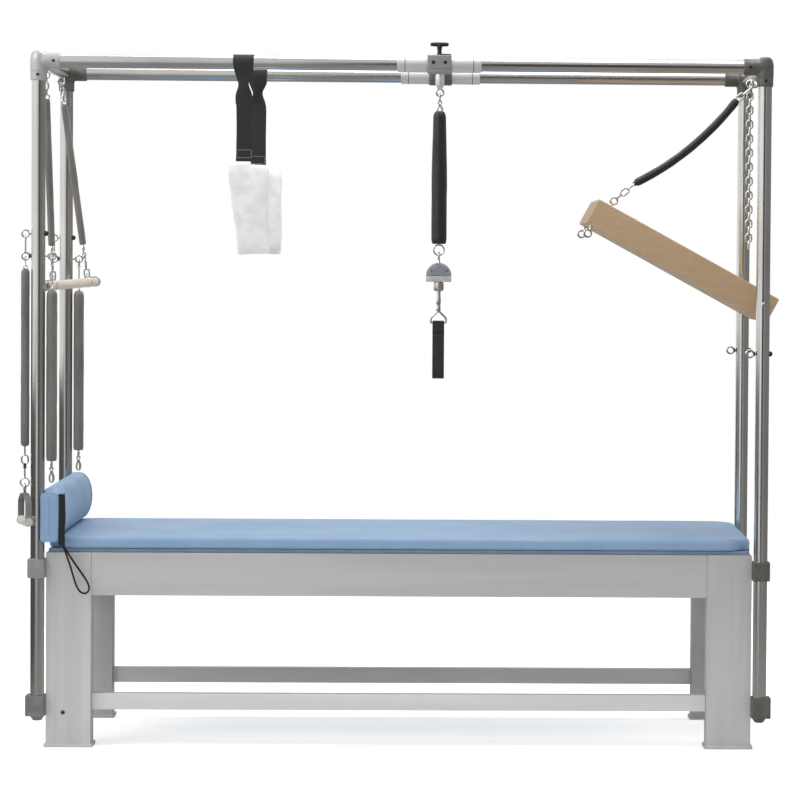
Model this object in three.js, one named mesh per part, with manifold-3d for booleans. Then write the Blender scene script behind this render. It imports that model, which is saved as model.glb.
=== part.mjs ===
// A pilates trapeze table: a metal base with a padded top, a tube frame over it,
// a trolley on the two top bars, and the springs, straps, bar and board that hang from the frame.
// Millimetres, +Z up. +X runs along the table, the front of the table faces -Y,
// and the origin is on the floor below the middle of the whole object.

import * as THREE from 'three';
import { mergeVertices } from 'three/addons/utils/BufferGeometryUtils.js';
import Module from 'manifold-3d';

const wasm = await Module();
wasm.setup();

// Fits
const fitGap = 0.3;           // between faces that rest on each other
const boreClearance = 0.6;    // added to a radius that goes round a tube
const pinClearance = 0.5;     // added to a radius that goes round a bolt
const weldOverlap = 1;        // how far welded parts reach into each other
const cutOverrun = 2;         // how far a cut runs past the face it leaves
const mergeDistance = 0.001;  // corners nearer than this are one
const taperShare = 0.8;       // a tapered end's radius as a share of its foot's

// Tube frame
const tubeRadius = 21.2;
const tubeWall = 2.6;
const topBarHeight = 2086;    // axis of the top bars above the floor
const socketStop = 24;        // from a corner's centre to the end of each tube in it
const fittingWall = 3.8;
const fittingDrop = 58.5;     // length of the sleeve on the upright below the corner's centre
const fittingReach = 65;      // length of the sleeve on the top bar
const fittingArm = 56;        // length of the sleeve on the end tube
const fittingHeadRadius = 26;
const fittingHeadHeight = 31.5;
// Radius and height of the rings of a corner's domed head, as shares of its own
const fittingHeadShares = [[1, 0.55], [0.94, 0.8], [0.78, 0.95]];

// Base
const baseLength = 2152;
const baseDepth = 660;
const baseHeight = 595;
const legWidth = 136;
const legDepth = 75;
const footFlare = 6;
const footThickness = 9;
const apronHeight = 131;
const apronThickness = 20;
const apronSetback = 2;
const lowerRailBottom = 112;
const lowerRailHeight = 50;
const lowerRailThickness = 30;
const lowerRailSetback = 23;

// Padded top
const deckThickness = 12;
const deckInset = 7;
const mattressThickness = 36;
const mattressCornerRadius = 85;
// Inset and height of each ring of the mattress, as shares of its thickness
const mattressRingShares = [
  [0.36, 0], [0.1, 0.1], [0, 0.36], [0.03, 0.62], [0.14, 0.82], [0.34, 0.95], [0.62, 1],
];
const mattressCornerSteps = 6;

// Clamps that hold the uprights to the legs
const upperClampWall = 5.5;   // between an upright's bore and the clamp's outer end
const lowerClampWall = 11.5;
const clampLegWall = 3.9;     // between an upright's bore and the leg
const clampSideWall = 8;
const clampHeight = 57.5;
const upperClampDrop = 19;    // from the top of the base down to the upper clamps
const lowerClampBottom = 98;
const lowerClampHeight = 62;
const clampBevel = 4;
const clampTipDrop = 15;
const clampTipShare = 0.6;
const clampTipWall = 2.4;

// Eye bolts and links
const eyeRadius = 11;
const wireRadius = 3.2;
const boltRadius = 4;
const nutRadius = 8;
const nutLength = 9;
const tubeEyeAngle = 0.05;    // radians from straight down to an end tube's eye, inwards
const chainEyeAngle = 0.35;   // the same for the safety chain's eye
const eyeStandoff = 17.6;     // from a tube's surface to the centre of an eye beside it
const legEyeStandoff = 20.5;  // the same for the eyes that hold the leg springs
const linkWidthRadius = 8;
const linkPitch = 46;
const linkOverlap = 0.6;      // how far joined links press into each other
const leftUpperEyeHeight = 1564;
const leftLowerEyeHeight = 1496;
const rightEyeHeight = 1213;
const backEyeDrop = 11;       // of the back uprights' eye bolts below the front ones

// Trolley on the top bars
const trolleyX = 110;
const trolleySleeveLength = 256;
const trolleySleeveWall = 3.2;
const trolleyBlockWidth = 74;
const trolleyBlockHeight = 55;
const trolleyBlockDepth = 58;
const trolleyBlockBevel = 3;
const blockScrewRadius = 4.5;
const blockScrewDepth = 5;
const blockScrewSpacing = 36;
const crossbarRadius = 15;
const crossbarWall = 2;
const lugRadius = 14;
const lugDrop = 44;
const lugNeckRadius = 7;
const lugNeckLength = 14;
const knobBarRadius = 6.6;
const knobBarLength = 56;
const knobStemRadius = 8.4;
const knobStemLength = 33;

// Centre spring and the sling below it
const centreSleeveStart = 56;
const centreSleeveLength = 416;
const centreSleeveTopRadius = 20.5;
const centreSleeveRadius = 24.5;
const centreTailLength = 34;
const hangerWidth = 80;
const hangerDomeHeight = 41;
const hangerBandHeight = 19;
const hangerThickness = 34;
const hangerNeckLength = 8;
const hangerEdgeRadius = 4;
const swivelNutRadius = 16;
const swivelNutHeight = 29;
const swivelRodRadius = 4.2;
const swivelRodLength = 62;
const slingRingWidth = 48;
const slingRingHeight = 38;
const slingRingSide = 15;     // height of the ring's upright sides
const slingRingWire = 3.4;
const slingWidth = 37;
const slingLength = 176;
const slingThickness = 3.4;
const slingOpening = 22;

// Loop straps with fleece cuffs, one over each top bar
const loopStrapX = -483;
const loopStrapTopWidth = 62;
const loopStrapWidth = 50;
const loopStrapThickness = 3;
const loopStrapMerge = 118;   // below the bar's axis, where the two plies meet
const loopStrapLength = 300;  // below the bar's axis
const cuffWidth = 132;
const cuffHeight = 280;
const cuffDepth = 70;
const cuffSlitDepth = 12;
const cuffSlitHeight = 190;
const cuffBevel = 15;
const cuffBevelSteps = 3;
const cuffOffset = 18;        // how far the cuff's middle lies to the right of its strap

// Roll-down bar on two springs at the left end
const rolldownBarRadius = 14.5;
const rolldownBarOverhang = 90; // of the bar beyond each spring
const rolldownDrop = 644;     // from the spring's pivot to the bar's axis
const rolldownInset = 146;    // from the uprights' axes to the springs
// Radians that each spring hangs in from the uprights
const rolldownLeans = { front: 0.037, back: 0.135 };
const rolldownSleeveStart = 70;
const rolldownSleeveLength = 452;
const rolldownSleeveRadius = 11;
const barEyeRadius = 7;
const barEyeWire = 2.6;

// Springs beside the left uprights
const armSleeveStart = 34;
const armSleeveLength = 540;
const armSleeveRadius = 14;
const armTailLength = 122;
const legSleeveStart = 82;
const legSleeveLength = 536;
const legSleeveRadius = 17.3;
const legTailLength = 62;
const handleWidth = 100;
const handleDrop = 112;
const handleShoulderShare = 0.45;
const handleStrapWidth = 20;
const handleStrapThickness = 3.4;
const handleGripRadius = 14.5;
const handleNeck = 6;
const handleTurn = -1.2;      // radians the handle is turned about its hanging line

// Board at the right end, tilted about its axle
const boardLength = 637;
const boardThickness = 84;
const boardGap = 74;          // from the uprights' axes to the board's edges
const boardEdgeRadius = 5;
const boardTilt = 0.499;      // radians above level
const boardPivotDrop = 723;   // from the top bars' axis down to the axle
const boardPivotFromEnd = 44; // from the board's right end to the axle
const axleRadius = 6;
const axleHeadRadius = 9;
const axleHeadLength = 4;
const boardEyeRise = 25;      // of an eye's centre from the board's face
const boardTopEyeInset = 52;  // from the board's left end
const boardLowEyeInset = 22;
const boardLowEyeEdge = 21;   // from the board's front and back edges

// Spring between the right end tube and the board, and the safety chain beside it
const boardSpringY = -26;
const boardSleeveStart = 74;
const boardSleeveLength = 412;
const boardSleeveRadius = 13.5;
const boardCoilRadius = 8;
const boardCoilInside = 262;  // length of coil inside the sleeve at rest
const boardCoilRoom = 84;     // free length beyond the coil's end
const boardCoilShown = 6;
const boardHookStem = 20;     // from the last link to the hook's ring
const boardHookOffset = 8;    // sideways, so that the hook lies beside the board's eye
const chainY = 26;
const chainLength = 516;
const chainPitch = 47;

// Bolster cushion and its strap
const bolsterWidth = 68;
const bolsterFlatShare = 0.45;
const bolsterHeight = 148;
const bolsterBackGap = 25.5;  // from the bolster's far end to the back of the base
const bolsterEndRound = 16;
const bolsterEndFullness = 1.6; // how slowly the section shrinks towards an end
// Distance from an end and inset of each section there, as shares of the end's rounding
const bolsterEndShares = [[0, 1], [0.12, 0.62], [0.45, 0.22], [1, 0]];
const bolsterSteps = 14;
const bolsterCornerSteps = 3;
const bolsterOverhang = 26;   // past the front of the base
const bolsterStrapWidth = 21;
const bolsterStrapThickness = 3;
const bolsterStrapFromBack = 53;
const bolsterStrapTopShare = 0.93;
const bolsterStrapFoot = 26;  // below the mattress's top
const strapLoopLength = 172;
const strapLoopHalfWidth = 20;
const strapLoopBand = 6.5;
const strapLoopStemShare = 0.36;
const strapLoopLean = 0.484;

// Facets
const tubeSides = 20;
const boreSides = 16;
const barSides = 16;
const sleeveSides = 14;
const gripSides = 12;
const wireSides = 4;
const linkSides = 10;
const smallSides = 10;

const fittingRadius = tubeRadius + fittingWall;
const boreRadius = tubeRadius + boreClearance;
// the uprights stand just past the ends of the base, in line with its long faces
const halfLength = baseLength / 2 + fitGap + clampLegWall + boreRadius;
const halfDepth = baseDepth / 2;
const rolldownSpacing = 2 * (halfDepth - rolldownInset);
const rolldownBarLength = rolldownSpacing + 2 * rolldownBarOverhang;
const boardPivotHeight = topBarHeight - boardPivotDrop;
const boardWidth = 2 * (halfDepth - boardGap);
const bolsterLength = baseDepth + bolsterOverhang - bolsterBackGap;
const boltBoreRadius = boltRadius + pinClearance;
const deckTop = baseHeight + deckThickness;
const mattressTop = deckTop + mattressThickness;
const axisX = new THREE.Vector3(1, 0, 0);
const axisY = new THREE.Vector3(0, 1, 0);
const axisZ = new THREE.Vector3(0, 0, 1);
const point = (x, y, z) => new THREE.Vector3(x, y, z);

// Looks
const finish = (color, roughness, metalness) =>
  new THREE.MeshStandardMaterial({ color, roughness, metalness });
const polishedSteel = finish(0xb9b6ae, 0.22, 1);
const brushedAluminium = finish(0xb4b5b6, 0.45, 0.85);
const castGrey = finish(0x74746f, 0.5, 0.6);
const darkMetal = finish(0x3a3a38, 0.4, 0.8);
const chrome = finish(0xc9c9c9, 0.18, 1);
const greySleeve = finish(0x4a4742, 0.75, 0);
const blackWebbing = finish(0x23262a, 0.85, 0);
const whiteFleece = finish(0xf0f0ec, 0.95, 0);
const blueVinyl = finish(0xa0bbd9, 0.5, 0);
const darkBoard = finish(0x5f7185, 0.7, 0);
const paleWood = finish(0xe3d3bd, 0.55, 0);
const tanWood = finish(0xc29d73, 0.6, 0);
const creamPlastic = finish(0xd9d4c4, 0.5, 0.1);

/** One closed solid from a geometry: shared corners merged, empty faces left out, faces pointing out. */
function solid(geometry) {
  const bare = geometry.clone();
  bare.deleteAttribute('normal');
  bare.deleteAttribute('uv');
  const merged = mergeVertices(bare, mergeDistance);
  const corners = merged.attributes.position;
  const index = merged.index.array;
  const faces = [];
  let volume = 0;
  for (let i = 0; i < index.length; i += 3) {
    const [a, b, c] = index.slice(i, i + 3);
    if (a === b || b === c || c === a) continue;
    faces.push([a, b, c]);
    const [pa, pb, pc] = [a, b, c].map((n) => new THREE.Vector3().fromBufferAttribute(corners, n));
    volume += pa.dot(pb.cross(pc));
  }
  const outward = volume > 0 ? faces : faces.map(([a, b, c]) => [a, c, b]);
  return new wasm.Manifold(new wasm.Mesh({
    numProp: 3,
    vertProperties: Float32Array.from(corners.array),
    triVerts: Uint32Array.from(outward.flat()),
  }));
}

/** Solids joined into one. */
const joined = (first, ...rest) => rest.reduce((whole, part) => whole.add(part), first);

/** A solid with others cut out of it. */
const without = (whole, ...cuts) => cuts.reduce((left, part) => left.subtract(part), whole);

/** The geometry of a solid. */
function surface(body) {
  const mesh = body.getMesh();
  const geometry = new THREE.BufferGeometry();
  geometry.setAttribute('position', new THREE.BufferAttribute(Float32Array.from(mesh.vertProperties), 3));
  geometry.setIndex(Array.from(mesh.triVerts));
  geometry.computeVertexNormals();
  return geometry;
}

/** A box between two opposite corners. */
function block(low, high) {
  const size = high.clone().sub(low);
  const middle = high.clone().add(low).multiplyScalar(1 / 2);
  return solid(new THREE.BoxGeometry(size.x, size.y, size.z).translate(middle.x, middle.y, middle.z));
}

/** A round bar from one point to another, with its own radius at each end. */
function bar(from, to, radius, endRadius = radius, sides = smallSides) {
  const along = to.clone().sub(from);
  const geometry = new THREE.CylinderGeometry(endRadius, radius, along.length(), sides);
  const turn = new THREE.Quaternion().setFromUnitVectors(axisY, along.clone().normalize());
  const middle = from.clone().add(to).multiplyScalar(1 / 2);
  return solid(geometry.applyQuaternion(turn).translate(middle.x, middle.y, middle.z));
}

/** A tube with open ends from one point to another. */
function pipe(from, to, outer, inner, sides = tubeSides) {
  const along = to.clone().sub(from).normalize().multiplyScalar(cutOverrun);
  const bore = bar(from.clone().sub(along), to.clone().add(along), inner, inner, sides);
  return without(bar(from, to, outer, outer, sides), bore);
}

/** A ring of round wire about X or Y, its sides lengthened along Z by twice the straight. */
function ring(centre, axis, radius, wire, straight = 0) {
  const geometry = new THREE.TorusGeometry(radius, wire, wireSides, linkSides);
  geometry.rotateZ(Math.PI / 2).rotateX(Math.PI / 2);
  if (axis === axisX) geometry.rotateZ(Math.PI / 2);
  const corners = geometry.attributes.position;
  for (let i = 0; i < corners.count; i += 1) {
    corners.setZ(i, corners.getZ(i) + Math.sign(corners.getZ(i)) * straight);
  }
  return solid(geometry.translate(centre.x, centre.y, centre.z));
}

/** A body turned about Z from its radius and height at each step of the profile. */
function turned(profile, x, y, z, sides = tubeSides) {
  const points = profile.map(([radius, height]) => new THREE.Vector2(radius, height));
  return solid(new THREE.LatheGeometry(points, sides).rotateX(Math.PI / 2).translate(x, y, z));
}

/** A flat outline in X and Z, made thick along Y about y = 0. */
function plate(outline, thickness, bevel = 0, bevelSteps = 1) {
  const geometry = new THREE.ExtrudeGeometry(outline, {
    depth: thickness - 2 * bevel, bevelEnabled: bevel > 0, bevelThickness: bevel,
    bevelSize: bevel, bevelOffset: -bevel, bevelSegments: bevelSteps, curveSegments: linkSides,
  });
  return solid(geometry.translate(0, 0, bevel - thickness / 2).rotateX(Math.PI / 2));
}

/** Rows of points in order, each row a closed ring, skinned and closed at both ends. */
function skin(rows) {
  const count = rows[0].length;
  const corners = rows.flat();
  const faces = [];
  for (let r = 0; r < rows.length - 1; r += 1) {
    for (let i = 0; i < count; i += 1) {
      const [a, b] = [r * count + i, r * count + (i + 1) % count];
      faces.push(a, b, b + count, a, b + count, a + count);
    }
  }
  for (const [row, flip] of [[0, true], [rows.length - 1, false]]) {
    const middle = rows[row].reduce((sum, p) => sum.add(p), point(0, 0, 0)).multiplyScalar(1 / count);
    corners.push(middle);
    for (let i = 0; i < count; i += 1) {
      const [a, b] = [row * count + i, row * count + (i + 1) % count];
      faces.push(...(flip ? [b, a] : [a, b]), corners.length - 1);
    }
  }
  const geometry = new THREE.BufferGeometry().setFromPoints(corners);
  geometry.setIndex(faces);
  return solid(geometry);
}

/**
 * A run of links along Z, each pressed a little into the next so that the run is one body.
 * Top and bottom are the heights of the first and the last wire. The links take turns
 * about X and Y, and the first or the last of them is about the axis given.
 */
function links(top, bottom, { first, last }, pitch = linkPitch) {
  const count = Math.max(1, Math.round((top - bottom) / pitch));
  const startsOnX = first ? first === axisX : (last === axisX) === (count % 2 === 1);
  const bite = 2 * wireRadius - linkOverlap;
  const length = (top - bottom + (count - 1) * bite) / count;
  const radius = Math.min(linkWidthRadius, length / 2);
  const parts = [];
  for (let i = 0; i < count; i += 1) {
    const centre = point(0, 0, top - length / 2 - i * (length - bite));
    const axis = startsOnX === (i % 2 === 0) ? axisX : axisY;
    parts.push(ring(centre, axis, radius, wireRadius, length / 2 - radius));
  }
  return joined(...parts);
}

const table = new THREE.Group();

/** A named piece in a group. */
function piece(group, name, body, look) {
  const mesh = new THREE.Mesh(surface(body), look);
  mesh.name = name;
  group.add(mesh);
  return mesh;
}

/** A group at a place, turned about Y. */
function groupAt(x, y, z, turn = 0) {
  const group = new THREE.Group();
  group.position.set(x, y, z);
  group.rotation.y = turn;
  table.add(group);
  return group;
}

const ends = [['left', -1], ['right', 1]];
const sides = [['front', -1], ['back', 1]];

/** One end of the base: two legs on foot plates, joined at the top by a plate. */
function endFrame(end) {
  const outer = end * baseLength / 2;
  const inner = outer - end * legWidth;
  const parts = sides.flatMap(([, side]) => {
    const face = side * baseDepth / 2;
    const back = face - side * legDepth;
    const [lowX, highX] = [Math.min(outer, inner), Math.max(outer, inner)];
    const [lowY, highY] = [Math.min(face, back), Math.max(face, back)];
    const leg = block(point(lowX, lowY, 0), point(highX, highY, baseHeight));
    const foot = block(
      point(lowX - footFlare, lowY - footFlare, 0),
      point(highX + footFlare, highY + footFlare, footThickness),
    );
    return [leg, foot];
  });
  const plateOuter = outer - end * apronSetback;
  const plateInner = plateOuter - end * apronThickness;
  const reach = baseDepth / 2 - legDepth + weldOverlap;
  const plateBody = block(
    point(Math.min(plateOuter, plateInner), -reach, baseHeight - apronHeight),
    point(Math.max(plateOuter, plateInner), reach, baseHeight),
  );
  return joined(...parts, plateBody);
}

function makeBase() {
  const base = groupAt(0, 0, 0);
  const span = baseLength / 2 - legWidth - fitGap;
  for (const [word, end] of ends) piece(base, `end_frame_${word}`, endFrame(end), brushedAluminium);
  for (const [word, side] of sides) {
    const apronFace = side * (baseDepth / 2 - apronSetback);
    const apronBack = apronFace - side * apronThickness;
    const apron = block(
      point(-span, Math.min(apronFace, apronBack), baseHeight - apronHeight),
      point(span, Math.max(apronFace, apronBack), baseHeight),
    );
    piece(base, `apron_${word}`, apron, brushedAluminium);
    const railFace = side * (baseDepth / 2 - lowerRailSetback);
    const railBack = railFace - side * lowerRailThickness;
    const rail = block(
      point(-span, Math.min(railFace, railBack), lowerRailBottom),
      point(span, Math.max(railFace, railBack), lowerRailBottom + lowerRailHeight),
    );
    piece(base, `lower_rail_${word}`, rail, brushedAluminium);
  }
  const deck = block(
    point(deckInset - baseLength / 2, deckInset - baseDepth / 2, baseHeight),
    point(baseLength / 2 - deckInset, baseDepth / 2 - deckInset, deckTop),
  );
  piece(base, 'deck_board', deck, darkBoard);
}

/** Points of a rounded rectangle at one height, in order round Z. */
function roundedRing(halfX, halfY, radius, height, cornerSteps, sideSteps) {
  const ring = [];
  const corners = [[1, -1, -1], [1, 1, 0], [-1, 1, 1], [-1, -1, 2]];
  corners.forEach(([sx, sy, quarter], n) => {
    for (let i = 0; i <= cornerSteps; i += 1) {
      const angle = (quarter + i / cornerSteps) * Math.PI / 2;
      ring.push(point(
        sx * (halfX - radius) + radius * Math.cos(angle),
        sy * (halfY - radius) + radius * Math.sin(angle),
        height,
      ));
    }
    const [nx, ny] = corners[(n + 1) % corners.length];
    const next = point(nx * (halfX - radius), ny * (halfY - radius), height);
    const start = (quarter + 1) * Math.PI / 2;
    next.add(point(radius * Math.cos(start), radius * Math.sin(start), 0));
    const last = ring[ring.length - 1].clone();
    for (let i = 1; i < sideSteps; i += 1) ring.push(last.clone().lerp(next, i / sideSteps));
  });
  return ring;
}

/** The mattress: rounded in plan, its sides drawn in to the deck and its edges rolled over. */
function makeMattress() {
  const rows = mattressRingShares.map(([inset, rise]) => {
    const reduce = inset * mattressThickness;
    const radius = Math.max(mattressCornerRadius - reduce, mattressCornerRadius / 4);
    return roundedRing(
      baseLength / 2 - reduce, baseDepth / 2 - reduce, radius,
      deckTop + fitGap + rise * (mattressThickness - fitGap), mattressCornerSteps, 1,
    );
  });
  piece(table, 'mattress', skin(rows), blueVinyl);
}

/** A corner fitting with a blind socket for the upright, the top bar and the end tube. */
function cornerFitting(end, side) {
  const centre = point(0, 0, 0);
  const dome = fittingHeadShares.map(([out, up]) => [out * fittingHeadRadius, up * fittingHeadHeight]);
  const head = turned([
    [0, -socketStop], [fittingHeadRadius, -socketStop], ...dome, [0, fittingHeadHeight],
  ], 0, 0, 0);
  const arms = [[axisZ, -1, fittingDrop], [axisX, -end, fittingReach], [axisY, -side, fittingArm]];
  const along = (axis, way, length) => axis.clone().multiplyScalar(way * length);
  const sleeves = arms.map(([axis, way, length]) => bar(
    centre, along(axis, way, length), fittingRadius, fittingRadius, tubeSides,
  ));
  const sockets = arms.map(([axis, way, length]) => bar(
    along(axis, way, socketStop), along(axis, way, length + cutOverrun), boreRadius, boreRadius, tubeSides,
  ));
  return without(joined(head, ...sleeves), ...sockets);
}

/** Height of an eye bolt in the upright on the side given, from its height in the front one. */
const eyeHeightAt = (height, side) => (side > 0 ? height - backEyeDrop : height);

/** An eye bolt along X: an eye on the side given, and on the other a dome nut or a second eye. */
function eyeBolt(height, eyeSide, side, bothEyes) {
  const eyeX = eyeSide * (tubeRadius + eyeStandoff);
  const nutX = -eyeSide * (tubeRadius + fitGap);
  const nutEnd = nutX - eyeSide * nutLength;
  const y = side * halfDepth;
  const otherX = -eyeSide * (tubeRadius + legEyeStandoff);
  const shankEnd = point(bothEyes ? otherX + eyeSide * eyeRadius : nutEnd, y, height);
  const parts = [
    ring(point(eyeX, y, height), axisY, eyeRadius, wireRadius),
    bar(point(eyeX - eyeSide * eyeRadius, y, height), shankEnd, boltRadius),
    bar(point(nutX, y, height), point(nutEnd, y, height), nutRadius, nutRadius * taperShare),
  ];
  if (bothEyes) parts.push(ring(point(otherX, y, height), axisY, eyeRadius, wireRadius));
  return joined(...parts);
}

function makeFrame() {
  const frame = groupAt(0, 0, 0);
  const lowerStop = lowerClampBottom + fitGap;
  for (const [endWord, end] of ends) {
    for (const [sideWord, side] of sides) {
      const place = point(end * halfLength, side * halfDepth, topBarHeight);
      const fitting = cornerFitting(end, side);
      piece(frame, `corner_fitting_${sideWord}_${endWord}`, fitting, castGrey).position.copy(place);
      const past = tubeRadius + cutOverrun;
      const eyeHeights = end < 0 ? [leftUpperEyeHeight, leftLowerEyeHeight] : [rightEyeHeight];
      const bores = eyeHeights.map((frontHeight) => {
        const height = eyeHeightAt(frontHeight, side);
        return bar(point(-past, 0, height), point(past, 0, height), boltBoreRadius);
      });
      if (end > 0) {
        const [from, to] = [-past, past].map((y) => point(0, y, boardPivotHeight));
        bores.push(bar(from, to, axleRadius + pinClearance));
      }
      const tube = pipe(
        point(0, 0, lowerStop), point(0, 0, topBarHeight - socketStop - fitGap),
        tubeRadius, tubeRadius - tubeWall,
      );
      const upright = piece(frame, `upright_${sideWord}_${endWord}`, without(tube, ...bores), polishedSteel);
      upright.position.set(place.x, place.y, 0);
    }
    const reach = halfDepth - socketStop - fitGap;
    const tube = pipe(point(0, -reach, 0), point(0, reach, 0), tubeRadius, tubeRadius - tubeWall);
    const eyes = end < 0
      ? sides.map(([, side]) => tubeEye(1).setY(side * rolldownSpacing / 2))
      : [tubeEye(-1).setY(boardSpringY), tubeEye(-1, chainEyeAngle).setY(chainY)];
    const rings = eyes.map((eye) => ring(eye, axisY, eyeRadius, wireRadius));
    const endTube = piece(frame, `end_tube_${endWord}`, joined(tube, ...rings), polishedSteel);
    endTube.position.set(end * halfLength, 0, topBarHeight);
  }
  for (const [word, side] of sides) {
    const reach = halfLength - socketStop - fitGap;
    const tube = pipe(point(-reach, 0, 0), point(reach, 0, 0), tubeRadius, tubeRadius - tubeWall);
    piece(frame, `top_bar_${word}`, tube, polishedSteel).position.set(0, side * halfDepth, topBarHeight);
  }
}

/** A clamp block round an upright, against the leg's outer face. */
function clampBlock(end, height, wall) {
  const legGap = boreRadius + clampLegWall;
  const outer = boreRadius + wall;
  const outline = new THREE.Shape();
  const halfWidth = (outer + legGap) / 2;
  const halfSide = boreRadius + clampSideWall;
  outline.moveTo(-halfWidth, -halfSide + clampBevel);
  outline.lineTo(-halfWidth + clampBevel, -halfSide);
  outline.lineTo(halfWidth - clampBevel, -halfSide);
  outline.lineTo(halfWidth, -halfSide + clampBevel);
  outline.lineTo(halfWidth, halfSide - clampBevel);
  outline.lineTo(halfWidth - clampBevel, halfSide);
  outline.lineTo(-halfWidth + clampBevel, halfSide);
  outline.lineTo(-halfWidth, halfSide - clampBevel);
  outline.closePath();
  const body = new THREE.ExtrudeGeometry(outline, { depth: height, bevelEnabled: false });
  return solid(body.translate(end * (outer - legGap) / 2, 0, 0));
}

function makeClamps() {
  const clamps = groupAt(0, 0, 0);
  for (const [endWord, end] of ends) {
    for (const [sideWord, side] of sides) {
      const [x, y] = [end * halfLength, side * halfDepth];
      const bore = (from, to) => bar(point(0, 0, from), point(0, 0, to), boreRadius, boreRadius, boreSides);
      const upperBlock = clampBlock(end, clampHeight, upperClampWall);
      const upper = without(upperBlock, bore(-cutOverrun, clampHeight + cutOverrun));
      const upperPlace = point(x, y, baseHeight - upperClampDrop - clampHeight);
      piece(clamps, `upper_clamp_${sideWord}_${endWord}`, upper, castGrey).position.copy(upperPlace);
      const socket = bore(0, lowerClampHeight + cutOverrun);
      const tip = bar(
        point(0, 0, -clampTipDrop), point(0, 0, weldOverlap),
        boreRadius * clampTipShare, boreRadius + clampTipWall, boreSides,
      );
      const lowerBlock = clampBlock(end, lowerClampHeight, lowerClampWall);
      const cup = joined(without(lowerBlock, socket), tip);
      const lower = without(cup, bore(0, lowerClampHeight));
      const lowerPlace = point(x, y, lowerClampBottom);
      piece(clamps, `lower_clamp_${sideWord}_${endWord}`, lower, castGrey).position.copy(lowerPlace);
    }
  }
}

function makeEyeBolts() {
  for (const [word, side] of sides) {
    const eyeX = -(tubeRadius + eyeStandoff);
    const reach = eyeRadius - wireRadius / 2;
    const upper = eyeHeightAt(leftUpperEyeHeight, side);
    const lower = eyeHeightAt(leftLowerEyeHeight, side);
    const y = side * halfDepth;
    const anchor = joined(
      eyeBolt(upper, -1, side, false),
      eyeBolt(lower, -1, side, true),
      bar(point(eyeX, y, upper - reach), point(eyeX, y, lower + reach), wireRadius),
    );
    piece(groupAt(-halfLength, 0, 0), `spring_anchor_${word}`, anchor, chrome);
    const single = eyeBolt(eyeHeightAt(rightEyeHeight, side), -1, side, false);
    piece(groupAt(halfLength, 0, 0), `eyebolt_right_${word}`, single, chrome);
  }
}

function makeTrolley() {
  const trolley = groupAt(trolleyX, 0, topBarHeight);
  const sleeveRadius = boreRadius + trolleySleeveWall;
  const halfSleeve = trolleySleeveLength / 2;
  const halfBlock = trolleyBlockDepth / 2;
  for (const [word, side] of sides) {
    const y = side * halfDepth;
    const sleeve = pipe(point(-halfSleeve, 0, 0), point(halfSleeve, 0, 0), sleeveRadius, boreRadius);
    piece(trolley, `trolley_sleeve_${word}`, sleeve, brushedAluminium).position.y = y;
    const outline = new THREE.Shape();
    outline.moveTo(-trolleyBlockWidth / 2, -trolleyBlockHeight / 2);
    outline.lineTo(trolleyBlockWidth / 2, -trolleyBlockHeight / 2);
    outline.lineTo(trolleyBlockWidth / 2, trolleyBlockHeight / 2);
    outline.lineTo(-trolleyBlockWidth / 2, trolleyBlockHeight / 2);
    outline.closePath();
    const half = trolleyBlockWidth / 2 + cutOverrun;
    const bore = sleeveRadius + pinClearance;
    const cuts = [bar(point(-half, 0, 0), point(half, 0, 0), bore, bore, tubeSides)];
    for (const x of [-blockScrewSpacing / 2, blockScrewSpacing / 2]) {
      cuts.push(bar(
        point(x, side * (halfBlock + cutOverrun), 0), point(x, side * (halfBlock - blockScrewDepth), 0),
        blockScrewRadius,
      ));
    }
    const blockTop = trolleyBlockHeight / 2 + cutOverrun;
    cuts.push(bar(point(0, 0, sleeveRadius), point(0, 0, blockTop), boltBoreRadius));
    const body = without(plate(outline, trolleyBlockDepth, trolleyBlockBevel), ...cuts);
    piece(trolley, `trolley_block_${word}`, body, castGrey).position.y = y;
  }
  const reach = halfDepth - halfBlock - fitGap;
  const lugTop = point(0, 0, -crossbarRadius + weldOverlap);
  const lugEnd = point(0, 0, -crossbarRadius - lugDrop + lugNeckLength);
  const eyeCentre = point(0, 0, -crossbarRadius - lugDrop - eyeRadius + wireRadius / 2);
  const crossbar = joined(
    pipe(point(0, -reach, 0), point(0, reach, 0), crossbarRadius, crossbarRadius - crossbarWall),
    bar(lugTop, lugEnd, lugRadius, lugRadius, tubeSides),
    bar(lugEnd, point(0, 0, -crossbarRadius - lugDrop), lugRadius, lugNeckRadius, tubeSides),
    ring(eyeCentre, axisY, eyeRadius, wireRadius),
  );
  piece(trolley, 'trolley_crossbar', crossbar, chrome);

  const seat = trolleyBlockHeight / 2 + fitGap;
  const barHeight = seat + knobStemLength;
  const knob = joined(
    bar(point(0, 0, sleeveRadius + pinClearance + fitGap), point(0, 0, seat + weldOverlap), boltRadius),
    bar(point(0, 0, seat), point(0, 0, barHeight), knobStemRadius, knobStemRadius * taperShare),
    bar(point(-knobBarLength / 2, 0, barHeight), point(knobBarLength / 2, 0, barHeight), knobBarRadius),
  );
  piece(trolley, 'trolley_knob', knob, darkMetal).position.y = -halfDepth;
  return topBarHeight + eyeCentre.z;
}

/** Place of an eye below an end tube, from the tube's axis; inward is 1 or -1. */
function tubeEye(inward, angle = tubeEyeAngle) {
  const reach = tubeRadius + eyeRadius + wireRadius / 2;
  return point(inward * reach * Math.sin(angle), 0, -reach * Math.cos(angle));
}

/** Height of a hanging part's pivot, from the centre of the eye that it hangs in. */
const pivotBelow = (eyeHeight, radius = eyeRadius, wire = wireRadius) =>
  eyeHeight - radius + wire + wireRadius + fitGap;

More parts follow.
